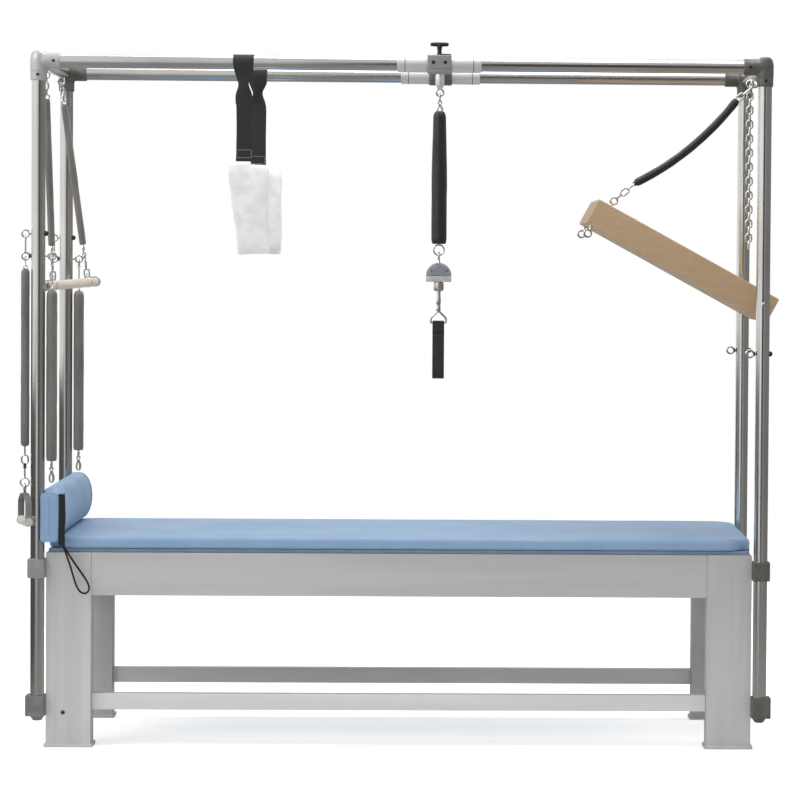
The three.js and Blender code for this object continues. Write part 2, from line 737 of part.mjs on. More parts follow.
/** A spring in its sleeve, hanging from its first wire at the origin: links, sleeve, links. */
function sleevedSpring(start, length, radius, topRadius, foot, last = axisY) {
  const round = radius / 2;
  const sleeveFoot = -start - length;
  const sleeve = turned([
    [0, sleeveFoot], [radius * taperShare, sleeveFoot], [radius, sleeveFoot + round],
    [radius, -start - length / 2], [topRadius, -start - round], [topRadius * taperShare, -start], [0, -start],
  ], 0, 0, 0, sleeveSides);
  return joined(links(0, -start, { first: axisX }), sleeve, links(sleeveFoot, foot, { last }));
}

/** Height of the first wire of a part that hangs in a link whose lowest wire is at this height. */
const hungAt = (lastWire) => lastWire + 2 * wireRadius + fitGap;

function makeSling(eyeHeight) {
  const pivot = pivotBelow(eyeHeight);
  const foot = -centreSleeveStart - centreSleeveLength - centreTailLength;
  const spring = sleevedSpring(
    centreSleeveStart, centreSleeveLength, centreSleeveRadius, centreSleeveTopRadius, foot,
  );
  piece(groupAt(trolleyX, 0, pivot), 'centre_spring', spring, blackWebbing);

  const hangerPivot = hungAt(pivot + foot);
  const hanger = groupAt(trolleyX, 0, hangerPivot);
  const ringCentre = point(0, 0, -eyeRadius);
  const neckTop = point(0, 0, -2 * eyeRadius - wireRadius / 2);
  const domeTop = neckTop.z - hangerNeckLength;
  const domeFoot = domeTop - hangerDomeHeight;
  const dome = new THREE.Shape();
  dome.absellipse(0, domeFoot, hangerWidth / 2, hangerDomeHeight, 0, Math.PI, false, 0);
  dome.closePath();
  const hangerBody = joined(
    ring(ringCentre, axisX, eyeRadius, wireRadius),
    bar(neckTop, point(0, 0, domeTop - weldOverlap), wireRadius, 2 * wireRadius),
    plate(dome, hangerThickness, hangerEdgeRadius),
  );
  piece(hanger, 'sling_hanger_block', hangerBody, castGrey);
  const bandTop = domeFoot - fitGap;
  const bandFoot = bandTop - hangerBandHeight;
  const band = new THREE.Shape();
  band.moveTo(-hangerWidth / 2, bandFoot);
  band.lineTo(hangerWidth / 2, bandFoot);
  band.lineTo(hangerWidth / 2, bandTop);
  band.lineTo(-hangerWidth / 2, bandTop);
  band.closePath();
  piece(hanger, 'sling_hanger_band', plate(band, hangerThickness, hangerEdgeRadius / 2), creamPlastic);

  const nutTop = bandFoot - fitGap;
  const nutFoot = nutTop - swivelNutHeight;
  const rodFoot = nutFoot - swivelRodLength;
  const ringFoot = rodFoot - slingRingHeight;
  const half = slingRingWidth / 2;
  const corners = [
    point(0, 0, rodFoot), point(half, 0, ringFoot + slingRingSide), point(half, 0, ringFoot),
    point(-half, 0, ringFoot), point(-half, 0, ringFoot + slingRingSide),
  ];
  const wires = corners.map((corner, i) => bar(corner, corners[(i + 1) % corners.length], slingRingWire));
  const ball = solid(new THREE.SphereGeometry(slingRingWire, smallSides, smallSides / 2));
  const knuckles = corners.map((corner) => ball.translate(corner.toArray()));
  const link = joined(
    bar(point(0, 0, nutTop), point(0, 0, nutFoot), swivelNutRadius, swivelNutRadius * taperShare),
    bar(point(0, 0, nutFoot + weldOverlap), point(0, 0, rodFoot), swivelRodRadius),
    ...wires, ...knuckles,
  );
  piece(hanger, 'sling_link', link, chrome);

  // a band of webbing over the ring's lower bar, opening downwards like a drop
  const inner = slingRingWire + fitGap;
  const outer = inner + slingThickness;
  const drop = (radius, widest, foot) => {
    const outline = new THREE.Path();
    outline.absarc(0, 0, radius, 0, Math.PI, false);
    outline.bezierCurveTo(-radius, foot / 3, -widest, foot * 2 / 3, -widest, foot + widest);
    outline.absellipse(0, foot + widest, widest, widest, Math.PI, 2 * Math.PI, false);
    outline.bezierCurveTo(widest, foot * 2 / 3, radius, foot / 3, radius, 0);
    return outline;
  };
  const around = drop(outer, slingOpening / 2 + slingThickness, -slingLength);
  const loop = new THREE.Shape(around.getPoints(linkSides));
  loop.holes.push(drop(inner, slingOpening / 2, slingThickness - slingLength));
  const strap = plate(loop, slingWidth).transform(new THREE.Matrix4().makeRotationZ(Math.PI / 2).elements);
  piece(groupAt(trolleyX, 0, hangerPivot + ringFoot), 'sling_strap', strap, blackWebbing);
}

/** A strap round a top bar, its plies meeting below the bar and running down together. */
function loopStrap() {
  const inner = tubeRadius + boreClearance;
  const outer = inner + loopStrapThickness;
  const lean = Math.asin(outer / loopStrapMerge);
  const outline = new THREE.Shape();
  outline.absarc(0, 0, outer, -lean, Math.PI + lean, false);
  outline.lineTo(-loopStrapThickness, -loopStrapMerge);
  outline.lineTo(-loopStrapThickness, -loopStrapLength);
  outline.lineTo(loopStrapThickness, -loopStrapLength);
  outline.lineTo(loopStrapThickness, -loopStrapMerge);
  outline.closePath();
  const hole = new THREE.Path();
  const innerLean = Math.asin(inner / loopStrapMerge);
  hole.absarc(0, 0, inner, -innerLean, Math.PI + innerLean, false);
  hole.lineTo(0, -loopStrapMerge + loopStrapThickness);
  hole.closePath();
  outline.holes.push(hole);
  const geometry = new THREE.ExtrudeGeometry(outline, {
    depth: loopStrapWidth, bevelEnabled: false, curveSegments: linkSides,
  });
  geometry.translate(0, 0, -loopStrapWidth / 2).rotateX(Math.PI / 2).rotateZ(Math.PI / 2);
  const corners = geometry.attributes.position;
  for (let i = 0; i < corners.count; i += 1) {
    const narrowing = THREE.MathUtils.smoothstep(-corners.getZ(i), 0, loopStrapMerge);
    const width = THREE.MathUtils.lerp(loopStrapTopWidth, loopStrapWidth, narrowing);
    corners.setX(i, corners.getX(i) * width / loopStrapWidth);
  }
  return solid(geometry);
}

/** A fleece cuff: a thick soft loop, flattened, with a slit through it along X. */
function cuff() {
  const outline = new THREE.Shape();
  outline.absellipse(0, -cuffHeight / 2, cuffDepth / 2, cuffHeight / 2, 0, 2 * Math.PI, false);
  const puffed = outline.getPoints(linkSides * 2).map(({ x, y }) => {
    const rise = (y + cuffHeight / 2) / (cuffHeight / 2);
    const full = Math.sqrt(1 - Math.min(1, rise ** 6));
    return new THREE.Vector2(Math.sign(x) * Math.max(Math.abs(x), full * cuffDepth / 2), y);
  });
  const body = new THREE.Shape(puffed.slice(0, -1));
  const slit = new THREE.Path();
  const end = cuffSlitHeight / 2 - cuffSlitDepth / 2;
  slit.absarc(0, -cuffHeight / 2 + end, cuffSlitDepth / 2, 0, Math.PI, false);
  slit.absarc(0, -cuffHeight / 2 - end, cuffSlitDepth / 2, Math.PI, 2 * Math.PI, false);
  slit.closePath();
  const whole = plate(body, cuffWidth, cuffBevel, cuffBevelSteps);
  const hole = plate(new THREE.Shape(slit.getPoints(linkSides / 2)), cuffWidth + 2 * cutOverrun);
  return whole.subtract(hole).transform(new THREE.Matrix4().makeRotationZ(Math.PI / 2).elements);
}

function makeLoopStraps() {
  for (const [word, side] of sides) {
    const group = groupAt(loopStrapX, side * halfDepth, topBarHeight);
    piece(group, `loop_strap_${word}`, loopStrap(), blackWebbing);
    const cuffTop = point(cuffOffset, 0, -loopStrapLength - fitGap);
    piece(group, `fleece_cuff_${word}`, cuff(), whiteFleece).position.copy(cuffTop);
  }
}

function makeRolldown() {
  const { x: eyeX, z: eyeZ } = tubeEye(1);
  const group = groupAt(-halfLength + eyeX, 0, pivotBelow(topBarHeight + eyeZ));
  const barTop = rolldownBarRadius - weldOverlap;
  const eyeCentre = -rolldownDrop + barTop + barEyeRadius;
  const foot = eyeCentre + barEyeRadius - barEyeWire - fitGap - wireRadius;
  const hung = sides.map(([word, side]) => {
    const lean = -rolldownLeans[word];
    const y = side * rolldownSpacing / 2;
    const turn = new THREE.Matrix4().makeRotationY(lean);
    const spring = sleevedSpring(
      rolldownSleeveStart, rolldownSleeveLength, rolldownSleeveRadius, rolldownSleeveRadius, foot, axisX,
    );
    const placed = piece(group, `rolldown_spring_${word}`, spring, greySleeve);
    placed.position.y = y;
    placed.rotation.y = lean;
    const eye = ring(point(0, y, eyeCentre), axisY, barEyeRadius, barEyeWire).transform(turn.elements);
    return [eye, point(0, y, -rolldownDrop).applyMatrix4(turn)];
  });
  const [[frontEye, front], [backEye, back]] = hung;
  const beyond = back.clone().sub(front).multiplyScalar((rolldownBarLength / rolldownSpacing - 1) / 2);
  const wood = bar(
    front.clone().sub(beyond), back.clone().add(beyond), rolldownBarRadius, rolldownBarRadius, barSides,
  );
  piece(group, 'rolldown_bar', joined(wood, frontEye, backEye), paleWood);
}

/** A handle: a bent strap from a top eye down to both ends of a round grip. */
function armHandle() {
  const shoulder = handleDrop * handleShoulderShare;
  const half = handleWidth / 2;
  const outline = new THREE.Shape();
  const [top, thick] = [-2 * eyeRadius - handleNeck, handleStrapThickness];
  const outerPath = [
    [-half, -handleDrop], [-half, -shoulder], [-half / 3, top],
    [half / 3, top], [half, -shoulder], [half, -handleDrop],
  ];
  const innerPath = [
    [half - thick, -handleDrop], [half - thick, -shoulder - thick / 3], [(half - thick) / 3, top - thick],
    [(thick - half) / 3, top - thick], [thick - half, -shoulder - thick / 3], [thick - half, -handleDrop],
  ];
  [...outerPath, ...innerPath].forEach(([x, z], i) => (i ? outline.lineTo(x, z) : outline.moveTo(x, z)));
  outline.closePath();
  const turn = new THREE.Matrix4().makeRotationZ(handleTurn).elements;
  const stirrup = joined(
    bar(point(0, 0, -2 * eyeRadius - wireRadius / 2), point(0, 0, -2 * eyeRadius - handleNeck), boltRadius),
    plate(outline, handleStrapWidth),
    bar(
      point(-half, 0, -handleDrop), point(half, 0, -handleDrop),
      handleGripRadius, handleGripRadius, gripSides,
    ),
  ).transform(turn);
  return joined(ring(point(0, 0, -eyeRadius), axisX, eyeRadius, wireRadius), stirrup);
}

function makeSideSprings() {
  const pivot = pivotBelow(leftLowerEyeHeight);
  const outerX = -halfLength - tubeRadius - eyeStandoff;
  const innerX = -halfLength + tubeRadius + legEyeStandoff;
  const armFoot = -armSleeveStart - armSleeveLength - armTailLength;
  const arm = sleevedSpring(armSleeveStart, armSleeveLength, armSleeveRadius, armSleeveRadius, armFoot);
  piece(groupAt(outerX, -halfDepth, pivot), 'arm_spring', arm, greySleeve);
  piece(groupAt(outerX, -halfDepth, hungAt(pivot + armFoot)), 'arm_handle', armHandle(), creamPlastic);
  for (const [word, side] of sides) {
    const foot = -legSleeveStart - legSleeveLength - legTailLength;
    const spring = sleevedSpring(legSleeveStart, legSleeveLength, legSleeveRadius, legSleeveRadius, foot);
    const legPivot = pivotBelow(eyeHeightAt(leftLowerEyeHeight, side));
    piece(groupAt(innerX, side * halfDepth, legPivot), `leg_spring_${word}`, spring, greySleeve);
  }
}

/** The board with its axle and eyes, lying along X with its axle at the origin. */
function swingBoard() {
  const left = boardPivotFromEnd - boardLength;
  const outline = new THREE.Shape();
  outline.moveTo(left, -boardThickness / 2);
  outline.lineTo(boardPivotFromEnd, -boardThickness / 2);
  outline.lineTo(boardPivotFromEnd, boardThickness / 2);
  outline.lineTo(left, boardThickness / 2);
  outline.closePath();
  const top = boardThickness / 2 + boardEyeRise;
  const stemFoot = boardThickness / 2 - weldOverlap;
  const eyeStem = (x, y, way) => joined(
    ring(point(x, y, way * top), axisY, eyeRadius, wireRadius),
    bar(point(x, y, way * stemFoot), point(x, y, way * (top - eyeRadius)), wireRadius),
  );
  const axleEnd = halfDepth + tubeRadius + fitGap;
  const axle = bar(point(0, -axleEnd, 0), point(0, axleEnd, 0), axleRadius);
  const heads = sides.map(([, side]) => bar(
    point(0, side * axleEnd, 0), point(0, side * (axleEnd + axleHeadLength), 0),
    axleHeadRadius, axleHeadRadius * taperShare,
  ));
  const lowEyeY = boardWidth / 2 - boardLowEyeEdge;
  const lowEyes = sides.map(([, side]) => eyeStem(left + boardLowEyeInset, side * lowEyeY, -1));
  return joined(
    plate(outline, boardWidth, boardEdgeRadius), axle, ...heads, ...lowEyes,
    eyeStem(left + boardTopEyeInset, boardSpringY - boardHookOffset, 1),
  );
}

function makeBoard() {
  piece(groupAt(halfLength, 0, boardPivotHeight, boardTilt), 'swing_board', swingBoard(), tanWood);

  const tube = tubeEye(-1);
  const pivot = pivotBelow(topBarHeight + tube.z);
  const left = boardPivotFromEnd - boardLength + boardTopEyeInset;
  const rise = boardThickness / 2 + boardEyeRise;
  const eyeX = left * Math.cos(boardTilt) + rise * Math.sin(boardTilt) - tube.x;
  const eyeZ = boardPivotHeight - left * Math.sin(boardTilt) + rise * Math.cos(boardTilt);
  const span = Math.hypot(eyeX, pivot - eyeZ);
  const spring = groupAt(halfLength + tube.x, boardSpringY, pivot, Math.atan2(-eyeX, pivot - eyeZ));
  const sleeveEnd = -boardSleeveStart - boardSleeveLength;
  const bore = boardCoilRadius + pinClearance;
  const sleeve = without(
    turned([
      [0, sleeveEnd], [boardSleeveRadius, sleeveEnd],
      [boardSleeveRadius, -boardSleeveStart - boardSleeveRadius],
      [boardSleeveRadius * taperShare, -boardSleeveStart], [0, -boardSleeveStart],
    ], 0, 0, 0, sleeveSides),
    bar(
      point(0, 0, sleeveEnd - cutOverrun), point(0, 0, sleeveEnd + boardCoilInside + boardCoilRoom), bore,
    ),
  );
  piece(spring, 'board_spring', joined(links(0, -boardSleeveStart, { first: axisX }), sleeve), greySleeve);

  const coilFoot = sleeveEnd - boardCoilShown;
  const stemTop = eyeRadius + boardHookStem - span;
  const tail = joined(
    bar(point(0, 0, sleeveEnd + boardCoilInside), point(0, 0, coilFoot), boardCoilRadius),
    links(coilFoot, stemTop, { first: axisX }, linkPitch / 2),
    bar(point(0, 0, stemTop), point(0, 0, eyeRadius - span), wireRadius),
    ring(point(0, 0, -span), axisY, eyeRadius, wireRadius),
  );
  piece(spring, 'board_spring_hook', tail, chrome);
  const chain = links(0, -chainLength, { first: axisX }, chainPitch);
  const chainEye = tubeEye(-1, chainEyeAngle);
  const chainGroup = groupAt(halfLength + chainEye.x, chainY, pivotBelow(topBarHeight + chainEye.z));
  piece(chainGroup, 'safety_chain', chain, chrome);
}

/** The bolster: flat at the back, round at the front, its ends rounded over. */
function makeBolster() {
  const nearEnd = -baseDepth / 2 - bolsterOverhang;
  const group = groupAt(-halfLength + tubeRadius + fitGap, nearEnd, mattressTop + fitGap);
  const flat = bolsterWidth * bolsterFlatShare;
  const outline = [];
  for (let i = 0; i <= bolsterSteps; i += 1) {
    const angle = (i / bolsterSteps - 1 / 2) * Math.PI;
    const across = flat + (bolsterWidth - flat) * Math.cos(angle);
    outline.push([across, bolsterHeight / 2 * (1 + Math.sin(angle))]);
  }
  const corner = bolsterEndRound / 2;
  for (const [cx, cz, quarter] of [[corner, bolsterHeight - corner, 1], [corner, corner, 2]]) {
    for (let i = 0; i <= bolsterCornerSteps; i += 1) {
      const angle = (quarter + i / bolsterCornerSteps) * Math.PI / 2;
      outline.push([cx + corner * Math.cos(angle), cz + corner * Math.sin(angle)]);
    }
  }
  const near = bolsterEndShares.map((shares) => shares.map((share) => share * bolsterEndRound));
  const far = near.map(([along, inset]) => [bolsterLength - along, inset]).reverse();
  const stations = [...near, ...far];
  const [middleX, middleZ] = [bolsterWidth / 2, bolsterHeight / 2];
  const rows = stations.map(([y, inset]) => outline.map(([x, z]) => point(
    middleX + (x - middleX) * (1 - inset / middleX / bolsterEndFullness),
    y,
    middleZ + (z - middleZ) * (1 - inset / middleZ / bolsterEndFullness),
  )));
  piece(group, 'bolster', skin(rows), blueVinyl);

  // a flat band down the near end, and a hanging loop below it in front of the table
  const band = block(
    point(bolsterStrapFromBack - bolsterStrapWidth / 2, -fitGap - bolsterStrapThickness, -bolsterStrapFoot),
    point(bolsterStrapFromBack + bolsterStrapWidth / 2, -fitGap, bolsterHeight * bolsterStrapTopShare),
  );
  const drop = (Outline, halfWidth, top, foot) => {
    const outline = new Outline();
    const fall = foot + halfWidth - top;
    outline.moveTo(0, top);
    const [upper, lower, centreZ] = [top + fall / 3, top + fall * 2 / 3, foot + halfWidth];
    outline.bezierCurveTo(-halfWidth / 3, upper, -halfWidth, lower, -halfWidth, centreZ);
    outline.absarc(0, centreZ, halfWidth, Math.PI, 2 * Math.PI, false);
    outline.bezierCurveTo(halfWidth, lower, halfWidth / 3, upper, 0, top);
    return outline;
  };
  const tail = drop(THREE.Shape, strapLoopHalfWidth, 0, -strapLoopLength);
  const holeTop = -strapLoopLength * strapLoopStemShare;
  const holeFoot = strapLoopBand - strapLoopLength;
  tail.holes.push(drop(THREE.Path, strapLoopHalfWidth - strapLoopBand, holeTop, holeFoot));
  const loopTop = bolsterStrapWidth / 2 - bolsterStrapFoot;
  const loop = plate(tail, bolsterStrapThickness)
    .transform(new THREE.Matrix4().makeRotationY(-strapLoopLean).elements)
    .translate([bolsterStrapFromBack, -fitGap - bolsterStrapThickness / 2, loopTop]);
  piece(group, 'bolster_strap', joined(band, loop), blackWebbing);
}

makeBase();
makeMattress();
makeFrame();
makeClamps();
makeEyeBolts();
makeSling(makeTrolley());
makeLoopStraps();
makeRolldown();
makeSideSprings();
makeBoard();
makeBolster();

// the origin goes to the floor below the middle of everything
const bounds = new THREE.Box3().setFromObject(table, true);
const centre = bounds.getCenter(new THREE.Vector3());
table.position.set(-centre.x, -centre.y, -bounds.min.z);

export default table;
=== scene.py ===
# Looks of a pilates trapeze table: a metal base with a blue pad, a steel tube frame over it,
# and the trolley, springs, straps, cuffs, bar, handle and board that hang from the frame.
# Sizes below are millimetres from the middle of the frame's plan, on the floor.

import math

import bpy
import numpy as np
from mathutils import Matrix, Vector


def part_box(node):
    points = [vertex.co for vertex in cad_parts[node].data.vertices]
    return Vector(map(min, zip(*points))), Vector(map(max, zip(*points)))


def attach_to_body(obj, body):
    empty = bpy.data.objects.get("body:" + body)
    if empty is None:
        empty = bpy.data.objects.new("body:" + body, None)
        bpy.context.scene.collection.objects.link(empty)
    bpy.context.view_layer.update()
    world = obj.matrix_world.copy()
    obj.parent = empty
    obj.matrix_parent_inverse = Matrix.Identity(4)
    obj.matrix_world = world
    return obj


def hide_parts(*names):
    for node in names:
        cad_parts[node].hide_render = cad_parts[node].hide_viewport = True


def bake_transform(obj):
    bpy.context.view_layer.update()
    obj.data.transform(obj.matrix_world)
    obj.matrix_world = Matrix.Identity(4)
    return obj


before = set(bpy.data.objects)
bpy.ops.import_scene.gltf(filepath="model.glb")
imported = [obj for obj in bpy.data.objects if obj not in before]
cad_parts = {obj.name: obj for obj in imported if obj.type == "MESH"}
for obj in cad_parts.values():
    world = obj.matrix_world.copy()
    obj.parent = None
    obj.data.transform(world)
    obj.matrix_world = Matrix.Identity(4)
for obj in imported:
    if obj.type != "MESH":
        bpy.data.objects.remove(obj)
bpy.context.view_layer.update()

MM = 0.001
_front, _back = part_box("top_bar_front"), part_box("top_bar_back")
MIDDLE = np.array([(_front[0].x + _front[1].x) / 2, (_front[0].y + _back[1].y) / 2, 0.0])


def put(points):
    """Millimetres in the table's own frame to metres in the row frame: p * 0.001 + middle."""
    return np.asarray(points, float) * MM + MIDDLE


# ---- camera

def add_object(name, data):
    """A new object in the scene, made of a mesh, a lamp or a camera."""
    obj = bpy.data.objects.new(name, data)
    bpy.context.scene.collection.objects.link(obj)
    return obj


def make_camera():
    """A long lens at the photograph's place: forward, right and up from yaw, pitch and roll."""
    yaw, pitch, roll = 0.02656, -0.02943, 0.00754
    forward = Vector((math.sin(yaw), math.cos(yaw), 0))
    right = Vector((math.cos(yaw), -math.sin(yaw), 0))
    ahead = forward * math.cos(pitch) + Vector((0, 0, math.sin(pitch)))
    above = Vector((0, 0, math.cos(pitch))) - forward * math.sin(pitch)
    side = right * math.cos(roll) + above * math.sin(roll)
    top = above * math.cos(roll) - right * math.sin(roll)
    data = bpy.data.cameras.new("camera")
    data.sensor_width = 36
    data.lens = 137.03
    data.shift_x, data.shift_y = -0.1707, -0.0781
    data.clip_end = 60
    camera = add_object("camera", data)
    place = put((164.97, -9604.1, 1531.48))
    camera.matrix_world = Matrix((
        (side.x, top.x, -ahead.x, place[0]),
        (side.y, top.y, -ahead.y, place[1]),
        (side.z, top.z, -ahead.z, place[2]),
        (0, 0, 0, 1),
    ))
    bpy.context.scene.camera = camera


make_camera()

# ---- sizes shared with the frame

TUBE, WALL = 21.2, 2.6  # outer radius and wall of the round tubes
HALF_X, HALF_Y, BAR_Z = 1102.0, 330.0, 2086.0  # tube axes, from the middle and from the floor
TUBE_END, UPRIGHT_FOOT = 24, 98  # a tube stops short of its corner; an upright starts above the floor
BASE_X, BASE_Y = 1076.0, 330.0  # half the base's length and width
PAD_TOP = 643.0
EYE, WIRE, THIN = 11.0, 3.2, 2.7  # an eye's radius, its wire's, and the wire of links and hooks
GAP = 0.3  # air between parts that touch or turn in one another
REACH = TUBE + EYE + WIRE / 2  # from a tube's axis to the centre of the eye below it
HANG = 4.3  # from an eye's centre to that of the ring in it
EYE_LEAN, CHAIN_LEAN = 0.05, 0.35  # of the eyes below the end tubes, in radians
FITTING, HEAD = 25.0, 26.0  # radii of a corner fitting's sleeves and of its upright head
FITTING_DOWN, FITTING_X, FITTING_Y = 58.5, 65, 56  # lengths of those sleeves from the corner
EYE_OUT, EYE_IN = 17.6, 20.5  # eyes of the uprights, outside and inside, from the tube's surface
UPPER_EYE_Z, LOWER_EYE_Z, RIGHT_EYE_Z = 1564.0, 1496.0, 1213.0
BACK_DROP = 11.0  # the back uprights' eyes sit lower
SPRING_TOP = 1491.7  # upper ends of the side springs
TROLLEY_X, STRAP_X = 110.0, -483.0
ROLLDOWN_Y, BOARD_SPRING_Y, CHAIN_Y = 184.0, -26.0, 26.0
ENDS = (("left", -1), ("right", 1))
SIDES = (("front", -1), ("back", 1))
X, Y, Z = np.eye(3)


# ---- surfaces: each is a dict of corners v, quads q and triangles t, their UVs in metres, and a
# material number

def flip(s):
    """Faces the other way round: each face's corners and UVs in reverse order."""
    for key in ("q", "t", "uq", "ut"):
        s[key] = s[key][:, ::-1]
    return s


def outward(s):
    """Outward faces, from the sign of the volume: sum of a . (b x c) / 6 over the triangles."""
    tri = np.concatenate([s["q"][:, [0, 1, 2]], s["q"][:, [0, 2, 3]], s["t"]])
    a, b, c = (s["v"][tri[:, i]] for i in range(3))
    return flip(s) if np.einsum("ij,ij->", a, np.cross(b, c)) < 0 else s


def grid(points, ring=False, mat=0, apex=(None, None)):
    """Quads over rows of points, P[i, j]: i runs along, j round. Each end is closed by a fan to the row's
    middle or to an apex; with ring the last row joins the first. UVs are arc lengths along and round."""
    P = np.asarray(points, float)
    rows, columns = P.shape[:2]
    index = np.arange(rows * columns).reshape(rows, columns)
    down = np.roll(index, -1, 0) if ring else index[1:]
    here = index if ring else index[:-1]
    q = np.stack([here, np.roll(here, -1, 1), np.roll(down, -1, 1), down], -1)
    closed = np.concatenate([P, P[:, :1]], 1)
    tall = np.concatenate([closed, closed[:1]]) if ring else closed
    along = np.linalg.norm(np.diff(tall, axis=0), axis=2).mean(1).cumsum()
    around = np.linalg.norm(np.diff(closed, axis=1), axis=2).max(0).cumsum()
    uv = np.stack(np.meshgrid(np.append(0, along) * MM, np.append(0, around) * MM, indexing="ij"), -1)
    uq = np.stack([uv[:-1, :-1], uv[:-1, 1:], uv[1:, 1:], uv[1:, :-1]], 2).reshape(-1, 4, 2)
    corners, tris, uts = [P.reshape(-1, 3)], [np.zeros((0, 3), int)], [np.zeros((0, 3, 2))]
    tiny = 1e-9
    for row, tip, turn in () if ring else ((0, apex[0], 1), (rows - 1, apex[1], -1)):
        middle = P[row].mean(0) if tip is None else np.asarray(tip, float)
        centre = sum(len(c) for c in corners)
        corners.append(middle[None])
        a, b = index[row], np.roll(index[row], -1)
        tris.append(np.stack([np.full(columns, centre), b, a], 1)[:, ::turn])
        out = P[row] - middle
        e1 = out[0] / (np.linalg.norm(out[0]) + tiny)
        e2 = np.cross(np.cross(out[0], out[columns // 4]), e1)
        e2 = e2 / (np.linalg.norm(e2) + tiny)
        flat = np.stack([out @ e1, out @ e2], 1) * MM
        uts.append(np.stack([np.zeros((columns, 2)), np.roll(flat, -1, 0), flat], 1)[:, ::turn])
    return outward(dict(v=np.concatenate(corners), q=q.reshape(-1, 4), t=np.concatenate(tris), uq=uq,
                        ut=np.concatenate(uts), mat=mat))


def unit(v):
    """v / |v|"""
    v = np.asarray(v, float)
    return v / np.linalg.norm(v)


def basis(direction):
    """Two unit vectors square to a direction."""
    d = unit(direction)
    e1 = unit(np.cross(d, X if abs(d[0]) < 0.8 else Y))
    return e1, np.cross(d, e1)


def disc(radius, sides):
    """A circle's points: (r cos a, r sin a)."""
    a = np.arange(sides) * 2 * math.pi / sides
    return np.stack([np.cos(a), np.sin(a)], 1) * radius


def slab(width, thickness):
    """A flat section with half-round edges, width across and thickness through."""
    r = thickness / 2
    a = np.linspace(-math.pi / 2, math.pi / 2, 7)
    right = np.stack([width / 2 - r + r * np.cos(a), r * np.sin(a)], 1)
    return np.concatenate([right, -right])


def sweep(path, section, up=None, ring=False, mat=0, size=None):
    """A section (k, 2) along a path (n, 3). With up, the section's second axis leans to it at
    every station; without, the frame is carried along. size is a factor per station."""
    path = np.asarray(path, float)
    n = len(path)
    if ring:
        tangent = np.roll(path, -1, 0) - np.roll(path, 1, 0)
    else:
        tangent = np.gradient(path, axis=0)
    tangent /= np.linalg.norm(tangent, axis=1)[:, None]
    if up is not None:
        ups = np.broadcast_to(np.asarray(up, float), (n, 3))
        e1 = np.cross(ups, tangent)
        e1 /= np.linalg.norm(e1, axis=1)[:, None]
        e2 = np.cross(tangent, e1)
    else:
        e1 = np.zeros((n, 3))
        e1[0] = basis(tangent[0])[0]
        for i in range(1, n):
            side = e1[i - 1] - tangent[i] * (e1[i - 1] @ tangent[i])
            e1[i] = side / np.linalg.norm(side)
        e2 = np.cross(tangent, e1)
    section = np.asarray(section, float)
    if section.ndim == 2:
        section = np.broadcast_to(section, (n, *section.shape))
    if size is not None:
        section = section * np.asarray(size, float)[:, None, None]
    P = path[:, None] + section[..., :1] * e1[:, None] + section[..., 1:] * e2[:, None]
    return grid(P, ring=ring, mat=mat)


def lathe(profile, centre, axis=Z, sides=48, mat=0):
    """A profile of (radius, height) turned round an axis through the centre. An end of radius 0 is a tip."""
    profile = np.asarray(profile, float)
    centre, axis = np.asarray(centre, float), unit(axis)
    e1, e2 = basis(axis)
    apex = [None, None]
    for end, k in ((0, 0), (1, -1)):
        if profile[k, 0] == 0:
            apex[end] = centre + axis * profile[k, 1]
    inner = profile[profile[:, 0] > 0]
    a = np.arange(sides) * 2 * math.pi / sides
    spokes = np.cos(a)[:, None] * e1 + np.sin(a)[:, None] * e2
    P = centre + inner[:, 0, None, None] * spokes + inner[:, 1, None, None] * axis
    return grid(P, mat=mat, apex=apex)


def rod(a, b, radius, mat=0, sides=24, lip=0.6):
    """A round bar from a to b with its rims broken by a small lip."""
    a, b = np.asarray(a, float), np.asarray(b, float)
    length = np.linalg.norm(b - a)
    profile = [(0, 0), (radius - lip, 0), (radius, lip), (radius, length - lip), (radius - lip, length),
               (0, length)]
    return lathe(profile, a, b - a, sides, mat)


def tube(a, b, radius, wall, mat=0, sides=64, lip=0.6):
    """A tube from a to b, open at both ends, its rims rounded: one closed ring of profile."""
    a, b = np.asarray(a, float), np.asarray(b, float)
    length = np.linalg.norm(b - a)
    inner = radius - wall
    profile = np.array([
        (radius - lip, 0), (radius, lip), (radius, length - lip), (radius - lip, length),
        (inner + lip, length), (inner, length - lip), (inner, lip), (inner + lip, 0),
    ])
    axis = unit(b - a)
    e1, e2 = basis(axis)
    t = np.arange(sides) * 2 * math.pi / sides
    spokes = np.cos(t)[:, None] * e1 + np.sin(t)[:, None] * e2
    P = a + profile[:, 0, None, None] * spokes + profile[:, 1, None, None] * axis
    return grid(P, ring=True, mat=mat)


def rounded_loop(hx, hy, r, corner=6, side=1):
    """Points of a rounded rectangle, four quarter circles joined by straight sides cut in equal steps."""
    pts = []
    for k, (sx, sy) in enumerate(((1, 1), (-1, 1), (-1, -1), (1, -1))):
        a = (k + np.linspace(0, 1, corner + 1)) * math.pi / 2
        arc = np.stack([sx * (hx - r) + r * np.cos(a), sy * (hy - r) + r * np.sin(a)], 1)
        pts.append(arc)
        nx, ny = ((-1, 1), (-1, -1), (1, -1), (1, 1))[k]
        nxt = np.array([nx * (hx - r) + r * math.cos(a[-1]), ny * (hy - r) + r * math.sin(a[-1])])
        for i in range(1, side):
            pts.append((arc[-1] + (nxt - arc[-1]) * i / side)[None])
    return np.concatenate(pts)


